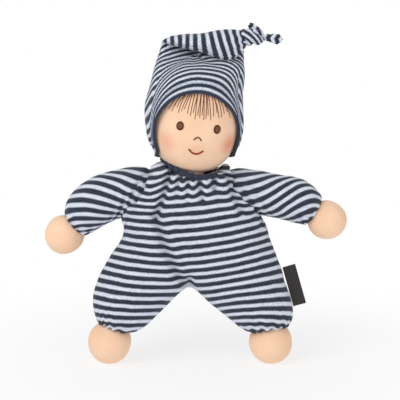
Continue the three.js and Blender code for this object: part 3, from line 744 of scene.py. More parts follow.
CUT_HEIGHT = 75.0
chest = parted(body, "suit_chest", lambda m: m.z > CUT_HEIGHT)
placed(chest, "torso", "striped_knit", "torso_cover", "torso_filling", fill=0.85, look=STRIPED)
for side, word in SIDES.items():
    seat = parted(body, f"suit_{word}_leg",
                  lambda m: m.z <= CUT_HEIGHT and (m.x - MIDDLE[0]) * side > 0)
    slope = np.array([0.5 * side, 0, -0.866])
    ends = [tuple(in_frame(slope * p)) for p in (-32.5, -6.0)]
    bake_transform(seat)
    placed(seat, None, "striped_knit", f"{word}_trouser_leg", f"{word}_leg_filling", fill=0.85, look=STRIPED)
    print(seat.name, len(seat.data.polygons), "faces")
drop(body)

# %% [markdown]
# ## Sleeves
# A sleeve is a stuffed tube with a round head at the shoulder, full above the arm, and drawn in at the
# hand. Its upper and lower outline were measured along the arm, and each place along it gets one ring
# between the two. The arms hang at different angles, so each is shaped level and then turned.

# %% Sleeves
SLEEVE_TOP = {1: ([-16.3, -15, -11.5, -6, 0.5, 11.7, 20.5, 31.3, 39.1, 46, 51, 54, 55.2],
                  [0, 6, 10.5, 13, 14.2, 16.2, 17.8, 19.6, 19.4, 17.4, 14.6, 11.6, 8.5]),
              -1: ([-16.3, -15, -11.5, -5.1, 5.5, 14.5, 25.5, 34.4, 41.9, 47.2, 50.6, 52.2],
                   [0, 6, 10.6, 14.6, 18.6, 21, 23, 22.6, 20.1, 17.0, 13, 8.8])}
SLEEVE_LOW = {1: ([-16.3, -15, -11.5, -6, 0.5, 10, 22.9, 33.5, 45.6, 50.6, 54, 55.2],
                  [0, -6, -11.4, -15, -16.4, -15.6, -13.2, -11.4, -10.3, -9.2, -7.4, -5.5]),
              -1: ([-16.3, -15, -11.5, -6, 1, 10, 19, 32, 44.7, 50.6, 52.2],
                   [0, -6, -11.4, -15, -16.2, -14.4, -12, -10.6, -9.8, -8.4, -6.4])}
SLEEVE_DEPTH = ([-16.3, -15, -11.5, -6, 0, 12, 24, 36, 44, 49.5, 53, 55.2],
                [0, 6.3, 11.4, 14.9, 16.2, 16.4, 16.2, 15.8, 14.8, 12.6, 10, 6.4])
SLEEVE_START, SLEEVE_END = -16.3, {1: 55.2, -1: 52.2}
SLEEVE_SQUARE = 0.0016
HAND = {1: np.array([62.6, 0.0, -1.4]), -1: np.array([60.4, 0.0, -1.4])}
SLEEVE_TERMS = {1: [[-0.51, 16.51, -1.55], [-3.77, -12.3, 5.78], [-56.59, 9.31, 0], [30.38, 0, 0]],
                -1: [[-13.52, 9.66, 1.71], [-37.61, 8.32, -5.68], [13.01, 1.0, 0], [-7.93, 0, 0]]}


def on_arm(points, side):
    """From along, aside and above a level left arm to the doll: turned down by its drop, then mirrored."""
    return (turned(np.asarray(points, float), "y", ARM_DROP[side]) + SHOULDER) * [side, 1, 1]


def along_arm(points, side):
    """The way back: the doll's points as along, aside and above a level left arm."""
    return turned(points * [side, 1, 1] - SHOULDER, "y", -ARM_DROP[side])


def sleeve_rows(level, side):
    """Row = a power sum of u along and a round the arm; straight on beyond the measured part."""
    s = level[:, 0]
    top, low = eased(s, *SLEEVE_TOP[side]), eased(s, *SLEEVE_LOW[side])
    high = np.maximum((top - low) / 2, 3)
    angle = np.arctan2((level[:, 2] - (top + low) / 2) / high, np.sqrt((level[:, 1] / 15.5) ** 2 + 0.02))
    across, around = s / 50, angle * high / 20
    u, a = np.clip(across, 0.16, 1.0), np.clip(around, -0.45, 1.0)
    terms, by = SLEEVE_TERMS[side], 0.01
    here = power_sum(terms, u, a)
    slope_u, slope_a = (power_sum(terms, u + by, a) - here) / by, (power_sum(terms, u, a + by) - here) / by
    return here + slope_u * (across - u) + slope_a * (around - a)


def sleeve(side):
    """Rings across the arm: middle and half-height from the two outlines, half-depth from the third."""
    s = np.linspace(SLEEVE_START, SLEEVE_END[side], 60)
    s = s - 1.2 * np.sin((s - SLEEVE_START) / (SLEEVE_END[side] - SLEEVE_START) * np.pi * 2)
    grid = upright_rings(s, 0, eased(s, *SLEEVE_TOP[side]), eased(s, *SLEEVE_LOW[side]),
                         eased(s, *SLEEVE_DEPTH), 64, 2.1)
    piece = skinned(f"{SIDES[side]}_sleeve_cover", on_arm(grid, side))
    hand = on_arm(HAND[side], side)
    cut(piece, [ball("hand_room", hand, [HAND_RADIUS + BALL_GAP] * 3)])
    evened(piece, SLEEVE_SQUARE, 0.5, 3)

    def free(points):
        """The head in its socket and the edge at the hand are held."""
        out = step_up(sphere_gap(points, hand, HAND_RADIUS + HELD_GAP), 0.4, 6)
        return out * step_up(along_arm(points, side)[:, 0], -4, 10)

    stuffed(piece, 1.2, free)
    points = corners(piece)
    level = along_arm(points, side)
    number(piece, "wale", level[:, 0] * 0.7 + level[:, 2] * 0.3 + np.sign(level[:, 1]) * 100)
    reach = sphere_gap(points, hand, HAND_RADIUS + HELD_GAP)
    angle = np.arctan2(level[:, 1], level[:, 2] + 1.4)
    puckers = 0.75 * np.cos(14 * angle + 1.2 * np.sin(3 * angle)) * np.exp(-reach / 5)
    puckers *= step_up(reach, 0.2, 1.6)
    at_seam = (points * [side, 1, 1] - SHOULDER) @ SEAM_OUT
    round_seam = np.arctan2(level[:, 1], level[:, 2])
    puckers += np.exp(-np.abs(at_seam - 1) / 3.2) * (-0.6 + 0.5 * np.cos(22 * round_seam))
    slow = 0.4 * np.sin(level[:, 0] / 6 + side) * np.sin(angle * 2 + level[:, 0] / 15)
    raised(piece, puckers + slow * free(points))
    number(piece, "row", sleeve_rows(level, side) + puckers)
    # How deep each point lies in a pucker, 0 to 1, which the striped finish darkens as painted shade.
    number(piece, "painted_fold_shade", np.clip(-puckers / 1.3, 0, 1))
    word = SIDES[side]
    return placed(piece, f"{word}_arm", "striped_knit", f"{word}_sleeve", f"{word}_arm_filling",
                  f"{word}_shoulder_filling", fill=0.85, look=STRIPED)


sleeves = [sleeve(side) for side in SIDES]
print("sleeves:", [len(piece.data.polygons) for piece in sleeves], "faces")

# %% [markdown]
# ## Hands and feet
# Each is a ball of wool in a round of skin jersey, tied off where the sleeve or leg hides it. The tie
# pulls fine folds towards itself, and the ball is a little uneven where it was rolled.

# %% Hands and feet
SKIN = skin_finish("skin_jersey")


def skin_ball(name, centre, radius, axis):
    """A ball about an axis: radius + small waves, with fine folds near the tied end, and flat on the floor."""
    angle = np.linspace(0, np.pi, 46)[1:-1]
    turn = full_turn(72)
    a, t = np.meshgrid(angle, turn, indexing="ij")
    folds = 0.35 * np.cos(15 * t + 1.5 * np.sin(2 * t)) * step_up(a, 1.9, 2.9)
    uneven = 0.18 * np.sin(3 * a + t) + 0.12 * np.sin(2 * t + 4 * a)
    r = radius * (1 - 0.012 * np.sin(a) ** 6) + folds + uneven * np.sin(a)
    local = xyz(r * np.sin(a) * np.cos(t), r * np.sin(a) * np.sin(t), r * np.cos(a))
    axis = np.asarray(axis, float) / np.linalg.norm(axis)
    first = np.cross(axis, [0, 1, 0])
    first /= np.linalg.norm(first)
    second = np.cross(axis, first)
    grid = local @ np.stack([first, second, axis]) + centre
    grid[..., 2] = np.maximum(grid[..., 2], 0.05)
    return skinned(name, grid)


for side, word in SIDES.items():
    hand = on_arm(HAND[side], side)
    wrist = on_arm(HAND[side] - [1, 0, -0.14], side)
    ends = {"hand": (hand, HAND_RADIUS, hand - wrist, "wrist"),
            "foot": (FOOT * [side, 1, 1], FOOT_RADIUS, [0.28 * side, 0, -0.96], "ankle")}
    for end, (centre, radius, axis, tied) in ends.items():
        body_name = f"{word}_{end}"
        placed(skin_ball(f"{body_name}_ball", centre, radius, axis), body_name, "skin_knit",
               f"{body_name}_skin", f"{body_name}_filling", f"{word}_{tied}_tie", fill=0.95, look=SKIN)
print("hand at", on_arm(HAND[1], 1).round(1), "foot at", FOOT)

# %% [markdown]
# ## Head
# The head is a ball of wool in the same skin jersey, a little taller than wide and round at the chin. It
# leans to the doll's left and looks slightly that way too. Everything on it is shaped upright about the
# head's middle, and one function leans it.

# %% Head
HEAD_LEAN, HEAD_TURN = 6, 5
HEAD_SIZE = np.array([31.0, 31.5, 38.5])


def on_doll(points):
    """From the upright head to the doll: turned about Z, leant about Y, and moved to the head's middle."""
    return turned(turned(np.asarray(points, float), "z", HEAD_TURN), "y", HEAD_LEAN) + HEAD


def upright(points):
    """The way back, from the doll to the upright head."""
    return turned(turned(points - HEAD, "y", -HEAD_LEAN), "z", -HEAD_TURN)


def head_power(z):
    """The power p of the head's outline: 2, an ellipse, above the middle, and a fuller 2.35 below."""
    return np.where(z > 0, 2.0, 2.35)


def girth(z):
    """The head's width share at a height: (1 - |z / half its height|^p)^(1/p)."""
    power = head_power(z)
    return (1 - np.minimum(np.abs(z) / HEAD_SIZE[2], 1) ** power) ** (1 / power)


def on_face(x, z, lift=0.0):
    """A point of the face for x aside and z up: y closes the ring there, and lift goes straight out."""
    share = girth(z)
    y = -HEAD_SIZE[1] * np.sqrt(np.maximum(share ** 2 - (x / HEAD_SIZE[0]) ** 2, 1e-4))
    point = xyz(x, y, z)
    out = point / HEAD_SIZE ** 2
    return point + lift * out / np.linalg.norm(out, axis=-1, keepdims=True)


def hem_gap(points):
    """Distance above the hat's edge, for points about the head's middle. Seen from the front the edge is an
    ellipse; low down it is the sheet 0.14 (y + 12) + 0.98 (z + 25). A soft minimum joins the two."""
    x, y, z = np.moveaxis(points, -1, 0)
    ring = 28.5 * (np.sqrt(((x - 0.4) / 29) ** 2 + ((z + 10) / 28.5) ** 2) - 1) + 40 * step_up(y, -8, 2)
    sheet = 0.14 * (y + 12) + 0.98 * (z + 25)
    return -1.5 * np.logaddexp(-ring / 1.5, -sheet / 1.5)


z = HEAD_SIZE[2] * np.sin(np.linspace(-np.pi / 2, np.pi / 2, 66))[1:-1]
grid = level_rings(0, 0, z, HEAD_SIZE[0] * girth(z), HEAD_SIZE[1] * girth(z), 120)
face = skinned("head_cover", on_doll(grid))
cheeks = [(in_frame(on_doll(on_face(np.array(x), np.array(z)))), reach, strength)
          for x, z, reach, strength in ((-20.5, -17.5, 0.0115, 0.4), (22.5, -15.0, 0.0115, 0.66),
                                        (0.5, -19.5, 0.008, 0.2), (26.0, 4.0, 0.009, 0.4))]
placed(face, "head", "skin_knit", "head_skin", "head_filling", fill=1.0, look=skin_finish("face_jersey", cheeks))
print("head:", len(face.data.polygons), "faces")

# %% [markdown]
# ## Sewn yarn
# The eyes, nose, mouth and hair are yarn on the skin. A yarn is a thin round tube along a path on the
# face. Where it is stitched down its thickness pulses, once for each stitch.

# %% Sewn yarn
def thread_finish(name, dark, light):
    """Matt yarn: fine noise blends its dark and light colours, and stands for the twist."""
    made, shader, start = finish(name, 0.8)
    fibre = grain(start, 3000.0)
    paint(start, shader, fibre.step(0.3, 0.7).blend(dark, light))
    relief(start, shader, fibre, 0.0001)
    return made


def yarn_grid(path, radius):
    """Rings of 8 points along a path: across = path direction x outward direction, deep = outward."""
    along = np.gradient(path, axis=0)
    out = unit(path / HEAD_SIZE ** 2)
    across = unit(np.cross(along, out))
    return rings(path, across * radius[:, None], out * radius[:, None] * 0.8, 8)


def bend(start, middle, end, count):
    """A curve through three places: (1-t)^2 start + 2t(1-t) pull + t^2 end, as points across and up."""
    t = np.linspace(0, 1, count)[:, None]
    start, middle, end = (np.array(p, float) for p in (start, middle, end))
    pull = 2 * middle - (start + end) / 2
    return (1 - t) ** 2 * start + 2 * t * (1 - t) * pull + t * t * end


def sewn(name, slot, node, lines, radius, look, stitch=0.0, taper=0.0):
    """Each line on the face gets a tube; all the tubes of one yarn are one piece."""
    made = []
    for line in lines:
        path = on_face(line[:, 0], line[:, 1], radius * 0.55)
        share = np.linspace(0, 1, len(path))
        length = np.linalg.norm(np.diff(path, axis=0), axis=1).sum()
        beat = np.abs(np.sin(np.pi * share * max(round(length / stitch), 1))) if stitch else 1.0
        width = radius * (0.72 + 0.28 * beat) * (1 - taper * share) * np.ones(len(path))
        made.append(skinned(name, on_doll(yarn_grid(path, width))))
    piece = joined(made[0], made[1:]) if len(made) > 1 else made[0]
    piece.name = name
    placed(piece, "head", slot, node, look=look)


sewn("nose_yarn", "brown_yarn", "nose", [bend((-2.5, -13.6), (0.1, -11.6), (2.6, -13.8), 33)], 0.48,
     thread_finish("brown_yarn", colour(74, 38, 24), colour(106, 60, 40)), stitch=2.6)
sewn("mouth_yarn", "red_yarn", "mouth", [bend((-4.9, -20.1), (-0.3, -23.0), (4.8, -20.4), 49)], 0.62,
     thread_finish("red_yarn", colour(112, 30, 26), colour(152, 52, 42)), stitch=2.2)
HAIR_TIPS = [(-23.4, 3.6), (-20.6, 4.6), (-18.8, 3.6), (-17.0, 7.4), (-14.5, 3.2), (-15.6, 6.8), (-12.6, 4.6),
             (-10.7, 6.2), (-8.6, 3.6), (-6.5, 2.1), (-4.9, 4.4), (-3.3, 0.3), (-1.8, 3.0), (-0.3, 1.6), (1.0, 3.4),
             (2.5, 0.3), (3.9, 1.2), (5.2, 3.6), (7.3, 0.8), (9.0, 3.2), (11.1, 5.7), (12.8, 2.4), (14.7, 3.1),
             (16.4, 5.4), (18.4, 6.8), (21.0, 3.0), (22.8, 6.4)]
hair_lines = []
for x, z in HAIR_TIPS:
    root = 0.56 * x + 0.8 * math.sin(2.3 * x)
    ladder = np.linspace(-4, 26, 121)
    gap = hem_gap(on_doll(on_face(np.full(121, root), ladder)) - HEAD)
    top = ladder[int(np.argmax(gap > 0))] + 1.6
    hair_lines.append(bend((root, top), ((x + root) / 2 + 0.05 * x, (z + top) / 2 + 0.03 * abs(x)), (x, z), 24))
sewn("hair_yarns", "brown_yarn", "hair_fringe", hair_lines, 0.31,
     thread_finish("hair_yarn", colour(98, 50, 34), colour(142, 84, 60)), taper=0.35)

# %% [markdown]
# ## Eyes
# Each eye is an upright oval in satin stitch: threads laid side by side, higher in the middle, with a
# darker outline stitched round them.

# %% Eyes
def eye_finish():
    """Threads side by side by the across number; the rim number turns the colour dark near the edge."""
    made, shader, start = finish("eye_yarn", 0.7)
    across, rim = attribute(start, "across"), attribute(start, "rim")
    thread = ((across + (grain(start, 1200.0) - 0.5) * 0.5) * (2 * math.pi / 0.5)).wave() * 0.5 + 0.5
    # Painted highlight and shade: each laid thread is lighter on its crest and darker in the groove beside it.
    middle = thread.blend(colour(92, 54, 38), colour(150, 98, 74))
    paint(start, shader, rim.step(0.62, 0.74).blend(middle, colour(74, 40, 28)))
    relief(start, shader, thread, 0.00015)
    return made


EYE_FINISH = eye_finish()
EYE_ASIDE, EYE_UP, EYE_WIDE, EYE_TALL = 12.4, -5.2, 2.4, 3.0
for side, word in SIDES.items():
    share = np.concatenate([np.linspace(0.04, 1, 16), np.linspace(1, 0.04, 8)])[:, None]
    lift = np.concatenate([0.3 + 0.35 * np.sqrt(1 - np.linspace(0.04, 0.995, 16) ** 2),
                           np.full(8, 0.05)])[:, None]
    angle = full_turn(40)[None, :]
    x = side * EYE_ASIDE + EYE_WIDE * share * np.cos(angle)
    z = EYE_UP + EYE_TALL * share * np.sin(angle)
    grid = on_face(x, z, (lift * np.ones_like(x))[..., None])
    eye = skinned(f"{word}_eye_stitches", on_doll(grid))
    number(eye, "across", np.append(x.ravel(), [side * EYE_ASIDE] * 2))
    number(eye, "rim", np.append((share * np.ones_like(x)).ravel(), [0, 0]))
    placed(eye, "head", "brown_yarn", f"{word}_eye", look=EYE_FINISH)
print("face sewn with", len(hair_lines), "strands of hair")

# %% [markdown]
# ## Hat
# The hat is a knitted bag pulled over the head. Its outline was measured from the front at many heights,
# and the rest follows the head. Each column of the grid runs from the top of the bag down to the hem,
# which frames the face and then runs nearly level round the nape. The rows of the knitting were made
# upwards from that hem, so a row's number is the length of cloth from the hem, stretched by 8 to 24 percent.

# %% Hat
BAG_HEIGHT = [138, 142, 146, 150.2, 154.4, 158.6, 163, 167, 175.3, 183.6, 191.8, 200.1, 208.3, 216.5, 222, 226, 228.5]
BAG_RIGHT = [-13, -17, -20, -23.2, -26.6, -29, -30.2, -30.7, -31.2, -30.7, -29, -27, -24.8, -22.4, -20.4, -18.5, -15]
BAG_LEFT = [22, 26, 29, 31.6, 34, 35.8, 36.9, 37.4, 37.3, 37.0, 36.2, 37.2, 38, 37.6, 36, 30, 20]
BAG_FRONT = ([138, 142, 146, 150.2, 154.4, 158.6, 167, 175, 183.6, 192.7, 198, 202.6, 206, 208.6, 211, 213,
              215, 218, 222, 228.5],
             [-17, -21, -24.5, -27.5, -29.6, -31.2, -32.9, -33.4, -32.8, -30.6, -28.2, -25, -21.6, -18.2, -14.2, -10,
              -5.5, -1, 3.5, 7])
BAG_BACK = ([138, 142, 146, 150.2, 154.4, 158.6, 167, 175, 183.6, 192, 200, 206, 212, 218, 224, 228.5],
            [17, 21, 24.6, 27.8, 30.2, 32, 33.8, 34.4, 34.2, 33.2, 31.2, 28.6, 25, 20.6, 15, 10])


CLEARANCE = 1.7


def clear_of_head(points):
    """A point too near to the head is moved straight away from its middle until it is clear."""
    x, y, z = np.moveaxis(upright(points) / (HEAD_SIZE + CLEARANCE), -1, 0)
    power = head_power(z)
    level = (np.hypot(x, y) ** power + np.abs(z) ** power) ** (1 / power)
    return (points - HEAD) / np.minimum(level, 1)[..., None] + HEAD


def bag(columns, rows):
    """Level rings first; then each column is cut where it meets the hem and shared out evenly again.
    The second result is the length of cloth from each point down its column to the hem; high up it counts
    from a calmer line than the hem, the hem's slow waves alone, since a knitted bag evens its rows out."""
    z = np.concatenate([np.linspace(228.5, 214, 40), np.linspace(214, 200, 90)[1:], np.linspace(200, 138, 150)[1:]])
    left, right = eased(z, BAG_HEIGHT, BAG_LEFT), eased(z, BAG_HEIGHT, BAG_RIGHT)
    front, back = eased(z, *BAG_FRONT), eased(z, *BAG_BACK)
    grid = clear_of_head(level_rings((left + right) / 2, (front + back) / 2, z, (left - right) / 2,
                                     (back - front) / 2, columns))
    away = hem_gap(grid - HEAD)
    step = np.linalg.norm(np.diff(grid, axis=0), axis=2)
    length = np.concatenate([np.zeros((1, columns)), np.cumsum(step, axis=0)])
    low = np.argmax(away < 0, axis=0)
    column = np.arange(columns)
    share = away[low - 1, column] / (away[low - 1, column] - away[low, column])
    end = length[low - 1, column] + share * (length[low, column] - length[low - 1, column])
    end = sum(np.roll(end, k) for k in (-2, -1, 0, 1, 2)) / 5
    at = np.linspace(0, 1, rows)[:, None] * end
    calm = np.fft.irfft(np.fft.rfft(end) * np.exp(-(np.arange(columns // 2 + 1) / 2.2) ** 2), columns)
    out = [np.stack([np.interp(at[:, c], length[:, c], grid[:, c, i]) for i in range(3)], -1) for c in column]
    out = np.stack(out, 1)
    return out, end - at + (calm - end) * step_up(end - at, 14, 46)


def open_skin(name, grid):
    """Rings closed at the first end only, wound so that the outside is out."""
    rows, columns = grid.shape[:2]
    points = np.concatenate([grid.reshape(-1, 3), grid[0].mean(0)[None]])
    here = np.arange(columns)
    top = xyz(here, (here + 1) % columns, rows * columns)
    faces = squares(rows, columns)[:, [0, 3, 2, 1]].tolist() + top.tolist()
    return new_piece(name, points, faces, closed=False)


hat_grid, hat_rise = bag(240, 110)
turn = full_turn(hat_rise.shape[1])
hat_row = hat_rise * (1.237 - 0.16 * np.cos(turn) ** 2)
hat = open_skin("hat_bag", hat_grid)
x, y, z = corners(hat).T
away = np.append(hat_row.ravel(), hat_row[0].mean())
turn = np.arctan2(y, x - HEAD[0])
ripple = 0.5 * np.sin(7 * turn + z / 6) * step_up(away, 22, 40)
ripple += 0.25 * np.sin(4 * turn + z / 14) * step_up(away, 4, 20)
knit(hat, away, turn * 34)
raised(hat, ripple)
worked(hat, "SOLIDIFY", thickness=0.0011, offset=-1)
placed(hat, "head", "striped_knit", "hat_crown", look=STRIPED)

# %% [markdown]
# ## Hem of the hat
# The hem is the bag's edge rolled into a narrow navy welt. It is a soft cord along the last ring of the
# bag, with its own rows and stitches round it.

# %% Hem of the hat
def cord(name, path, outward, radius, columns):
    """A ring-shaped tube along a closed path: one axis of each ring is outward, one is path x outward."""
    along = unit(np.roll(path, -1, axis=0) - np.roll(path, 1, axis=0))
    out = unit(outward - (outward * along).sum(1, keepdims=True) * along)
    grid = rings(path, np.cross(along, out) * radius[:, None], out * radius[:, None], columns)
    return new_piece(name, grid.reshape(-1, 3), squares(len(path), columns, joined_rows=True).tolist())


def knit_along(piece, path, columns, rows_round):
    """Wale = the length along the path, and row = an even count round the tube. The length is returned."""
    length = np.concatenate([[0], np.cumsum(np.linalg.norm(np.diff(path, axis=0), axis=1))])
    knit(piece, np.tile(np.linspace(0, rows_round, columns), len(path)), np.repeat(length, columns))
    return length[-1]


edge = hat_grid[-1]
hem = cord("hat_welt", edge, edge - edge.mean(0), np.full(len(edge), 1.15), 12)
knit_along(hem, edge, 12, 7.2)
hem.data.materials.append(NAVY_KNIT)
fold_line = np.array([[np.interp(-8.6, -row, line[:, i]) for i in range(3)]
                      for line, row in zip(hat_grid.swapaxes(0, 1), hat_row.T)])
fold_line += 0.25 * unit(fold_line - HEAD)
beat = 0.2 + 0.12 * np.cos(np.arange(len(fold_line)) * np.pi / 2)
seam = cord("fold_stitches", fold_line, fold_line - fold_line.mean(0), beat, 8)
seam.data.materials.append(thread_finish("pale_thread", colour(150, 172, 206), colour(184, 202, 228)))
joined(hem, [seam])
placed(hem, "head", "dark_knit", "hat_hem")

# %% [markdown]
# ## Tail of the hat
# The bag's pointed end is folded over to the doll's left. It starts narrow at the corner where it turns, is
# fat further along and narrow again at the knot. Its rows run across it, so from the front they stand
# nearly upright and fan out. It is a piece of its own, and stands clear of the bag when it is lifted.

# %% Tail of the hat
TAIL_ALONG = [-19.5, -18, -14, -9.5, -3, 5, 12, 19, 26, 31, 35, 38]
TAIL_TOP = [227.2, 228, 229.6, 230.4, 231.2, 232, 232.8, 233.8, 234.5, 234.4, 233.9, 232.8]
TAIL_LOW = [226.6, 225.6, 224.6, 223.4, 221.8, 219.6, 217, 214.4, 213.4, 215.6, 219, 223]
TAIL_DEEP = [1, 3.5, 6.5, 8.6, 10, 10.8, 11, 10.6, 9.6, 8, 6.2, 4.6]
TAIL_MIDDLE = [0.5, 0, -1, -1.8, -2.4, -3, -3.4, -3.8, -4, -3.8, -3.4, -3]


def lying_tube(xs, tops, lows, deeps, middles, rows, columns, squareness=2.0):
    """Upright rings one after another along x, between an upper and a lower line."""
    x = np.linspace(xs[0], xs[-1], rows)
    y, top, low, deep = (eased(x, xs, v) for v in (middles, tops, lows, deeps))
    return upright_rings(x, y, top, low, deep, columns, squareness)


def tail_rows(x, z):
    """Stripes 5.17 mm apart along x, each leaning outwards by up to 0.28 mm a millimetre below the top."""
    lean = 0.28 * step_up(x, -2, 26)
    drop_down = np.maximum(eased(x, TAIL_ALONG, TAIL_TOP) - z, 0)
    return STRIPE / 5.17 * (x + 17 - lean * drop_down)


tail = skinned("hat_tail_fold", lying_tube(TAIL_ALONG, TAIL_TOP, TAIL_LOW, TAIL_DEEP, TAIL_MIDDLE, 96, 72, 2.2))
x, y, z = corners(tail).T
knit(tail, tail_rows(x, z), z + y * 0.4)
angle = np.arctan2(z - 225, y + 3)
draw = step_up(x, 14, 36)
ripple = 0.55 * np.cos(9 * angle + 1) * draw + 0.35 * np.sin(x / 5 + 2 * angle) * (1 - draw)
raised(tail, ripple)
placed(tail, "hat_tail", "striped_knit", "hat_tail", fill=0.4, look=STRIPED)

# %% [markdown]
# ## Knot and its two ends
# The tail is tied once. The turn of the knot is a fat lump with two deep creases between its wraps, its
# stripes run round it, and the two short ends stick out flat, wider at their tips.

# %% Knot and its two ends
KNOT_ALONG = [32.6, 33.4, 35.5, 38.5, 42.2, 46, 49, 51, 51.8]
KNOT_TOP = [229.5, 231.6, 234, 235.4, 235.9, 235.2, 233.6, 231.4, 229.4]
KNOT_LOW = [228.5, 226.4, 224.4, 223.5, 223.4, 223.9, 225, 226.6, 228.4]
KNOT_DEEP = [0.6, 3.2, 5.6, 6.8, 7.2, 6.8, 5.6, 3.2, 0.8]
knot_grid = lying_tube(KNOT_ALONG, KNOT_TOP, KNOT_LOW, KNOT_DEEP, [-3] * 9, 72, 64)
knot = skinned("hat_knot_wrap", knot_grid)
x, y, z = corners(knot).T
slant = (z - 229.5) + 0.62 * (x - 42.2)
knit(knot, slant * 1.25 - 1.2 + 0.05 * (x - 38) ** 2, x - z * 0.6 + y * 0.5)
wraps = -1.5 * np.exp(-((slant - 5.6) / 1.0) ** 2) - 1.4 * np.exp(-((slant + 5.0) / 1.0) ** 2)
raised(knot, wraps + 0.3 * np.sin(x * 1.1))
placed(knot, "hat_tail", "striped_knit", "hat_knot", fill=0.9, look=STRIPED)


def flat_end(name, node, start, end, widths, thicks, curl):
    """A flat strip from start to end: across = the direction turned a quarter in the front plane."""
    t = np.linspace(0, 1, 40)
    start, end = np.array(start, float), np.array(end, float)
    line = (end - start) / np.linalg.norm(end - start)
    aside = np.array([-line[2], 0, line[0]])
    knots = np.linspace(0, 1, len(widths))
    middle = start + (end - start) * t[:, None] + np.array([0, 1, 0]) * (curl * np.sin(np.pi * t))[:, None]
    wide, thick = eased(t, knots, widths), eased(t, knots, thicks)
    grid = rings(middle, aside * wide[:, None], np.array([0, 1, 0]) * thick[:, None], 28, 2.8)
    piece = skinned(name, grid)
    along = (corners(piece) - start) @ line
    beside = (corners(piece) - start) @ aside
    knit(piece, along * 1.05 - np.abs(beside) * 0.5 + 2.4, beside)
    raised(piece, 0.25 * np.sin(beside * 2.2 + along))
    placed(piece, "hat_tail", "striped_knit", node, fill=0.3, look=STRIPED)


flat_end("hat_side_tip", "hat_side_end", (50.0, -3.4, 229.2), (63.4, -3.6, 227.7),
         [1.6, 2.4, 2.9, 3.3, 3.4, 1.2], [1.5, 1.4, 1.1, 1.0, 0.9, 0.5], -0.6)
flat_end("hat_up_tip", "hat_up_end", (49.6, -2.6, 232.0), (40.6, -1.4, 238.0),
         [1.4, 1.9, 2.1, 1.7, 2.4, 1.2], [1.2, 1.2, 1.0, 1.1, 1.0, 0.5], -0.8)
print("tail ends at", round(KNOT_ALONG[-1], 1), "mm to the left")

# %% [markdown]
# ## Neck and collar
# Under the chin the suit's top edge is gathered on a thread into a narrow ruffle. It is a cord round the
# neck whose height and width ripple.
# Behind it is the tied stub of the neck.

# %% Neck and collar
turn = full_turn(360)
ruffle = np.cos(26 * turn + 1.5 * np.sin(3 * turn))
reach = 21.4 + 0.6 * ruffle
path = xyz(3.2 + reach * np.cos(turn), -0.5 + 0.72 * reach * np.sin(turn),
           135.0 + 6.3 * np.cos(turn) ** 2 - 4.2 * np.cos(turn) + 0.4 * np.sin(26 * turn))
collar = cord("suit_collar", path, path - [3.2, -0.5, 139], 1.9 + 0.25 * ruffle, 16)
collar_length = knit_along(collar, path, 16, 14)
placed(collar, "torso", "dark_knit", "neck_binding", fill=0.4, look=NAVY_KNIT)
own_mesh(collar)

neck_z = np.array([-7.5, -6.5, -4.5, -1.5, 1.5, 4.0, 8.0, 12.0])
neck_wide = np.array([4.0, 7.0, 8.8, 9.8, 9.2, 8.6, 9.4, 9.4])
z = np.linspace(neck_z[0], neck_z[-1], 36)
wide = eased(z, neck_z, neck_wide)
grid = level_rings(0, 0, z, wide, wide, 64)
grid = grid * (1 + 0.02 * np.cos(14 * full_turn(64)))[None, :, None]
neck = skinned("neck_stub", turned(grid, "y", HEAD_LEAN) + NECK)
placed(neck, "neck", "skin_knit", "neck_filling", fill=0.9, look=SKIN)
path = xyz(9.6 * np.cos(turn), 9.6 * np.sin(turn), 2.6)
tie = cord("neck_thread", turned(path, "y", HEAD_LEAN) + NECK, turned(path * [1, 1, 0], "y", HEAD_LEAN),
           np.full(360, 0.55), 8)
placed(tie, "head", "thread", "neck_tie",
       look=thread_finish("cotton_thread", colour(214, 200, 180), colour(238, 226, 208)))
print("collar of", round(float(collar_length)), "mm")

# %% [markdown]
# ## Side label
# A blank woven ribbon is folded double and caught in the leg's side seam. It is one strip: up the front,
# round a small fold at the outer end and back, held open by less than a millimetre.

# %% Side label
def ribbon_finish():
    """Weave: warp and weft waves of about 0.3 mm, charcoal, lighter where the threads stand up as a painted
    highlight, with noise in its tone.
    """
    made, shader, start = finish("label_ribbon", 0.6)
    across, along = attribute(start, "wale"), attribute(start, "row")
    weave = (across * (2 * math.pi / 0.34)).wave() * (along * (2 * math.pi / 0.3)).wave() * 0.5 + 0.5
    # Partly painted highlight: the raised threads are lighter; the noise varies the yarn's own tone.
    shade = weave * 0.6 + grain(start, 700.0) * 0.4
    paint(start, shader, shade.step(0.2, 0.8).blend(colour(40, 38, 38), colour(72, 69, 67)))
    relief(start, shader, weave, 0.00012)
    return made


LABEL = np.array([69.2, 0.0, 54.4])


def label():
    """A strip bent double: u runs in 9 mm, round a half turn of 0.45 mm and out again; v runs down 29 mm."""
    v = np.linspace(-14.5, 14.5, 60)
    flat = np.linspace(0, 1, 14)
    bend_angle = np.linspace(-np.pi / 2, np.pi / 2, 10)[1:-1]
    u = np.concatenate([flat * 8.8, 8.8 + 0.45 * np.cos(bend_angle), 8.8 - flat * 8.8])
    side = np.concatenate([np.full(14, -0.45), 0.45 * np.sin(bend_angle), np.full(14, 0.45)])
    uu, vv = np.meshgrid(u, v)
    wave = 0.5 * np.sin(vv / 6.5) * (uu / 9)
    tilted = turned(xyz(uu, side + wave, vv).reshape(-1, 3), "y", -16) + LABEL
    faces = squares(*uu.shape, joined_columns=False)
    piece = new_piece("blank_label", tilted, faces.tolist(), closed=False)
    knit(piece, vv.ravel(), (uu + (side > 0) * 20).ravel())
    return worked(piece, "SOLIDIFY", thickness=0.00025, offset=0)


ribbon = placed(label(), "side_label", "label_ribbon", "side_label", look=ribbon_finish())
print("label at", in_frame(LABEL).round(4))

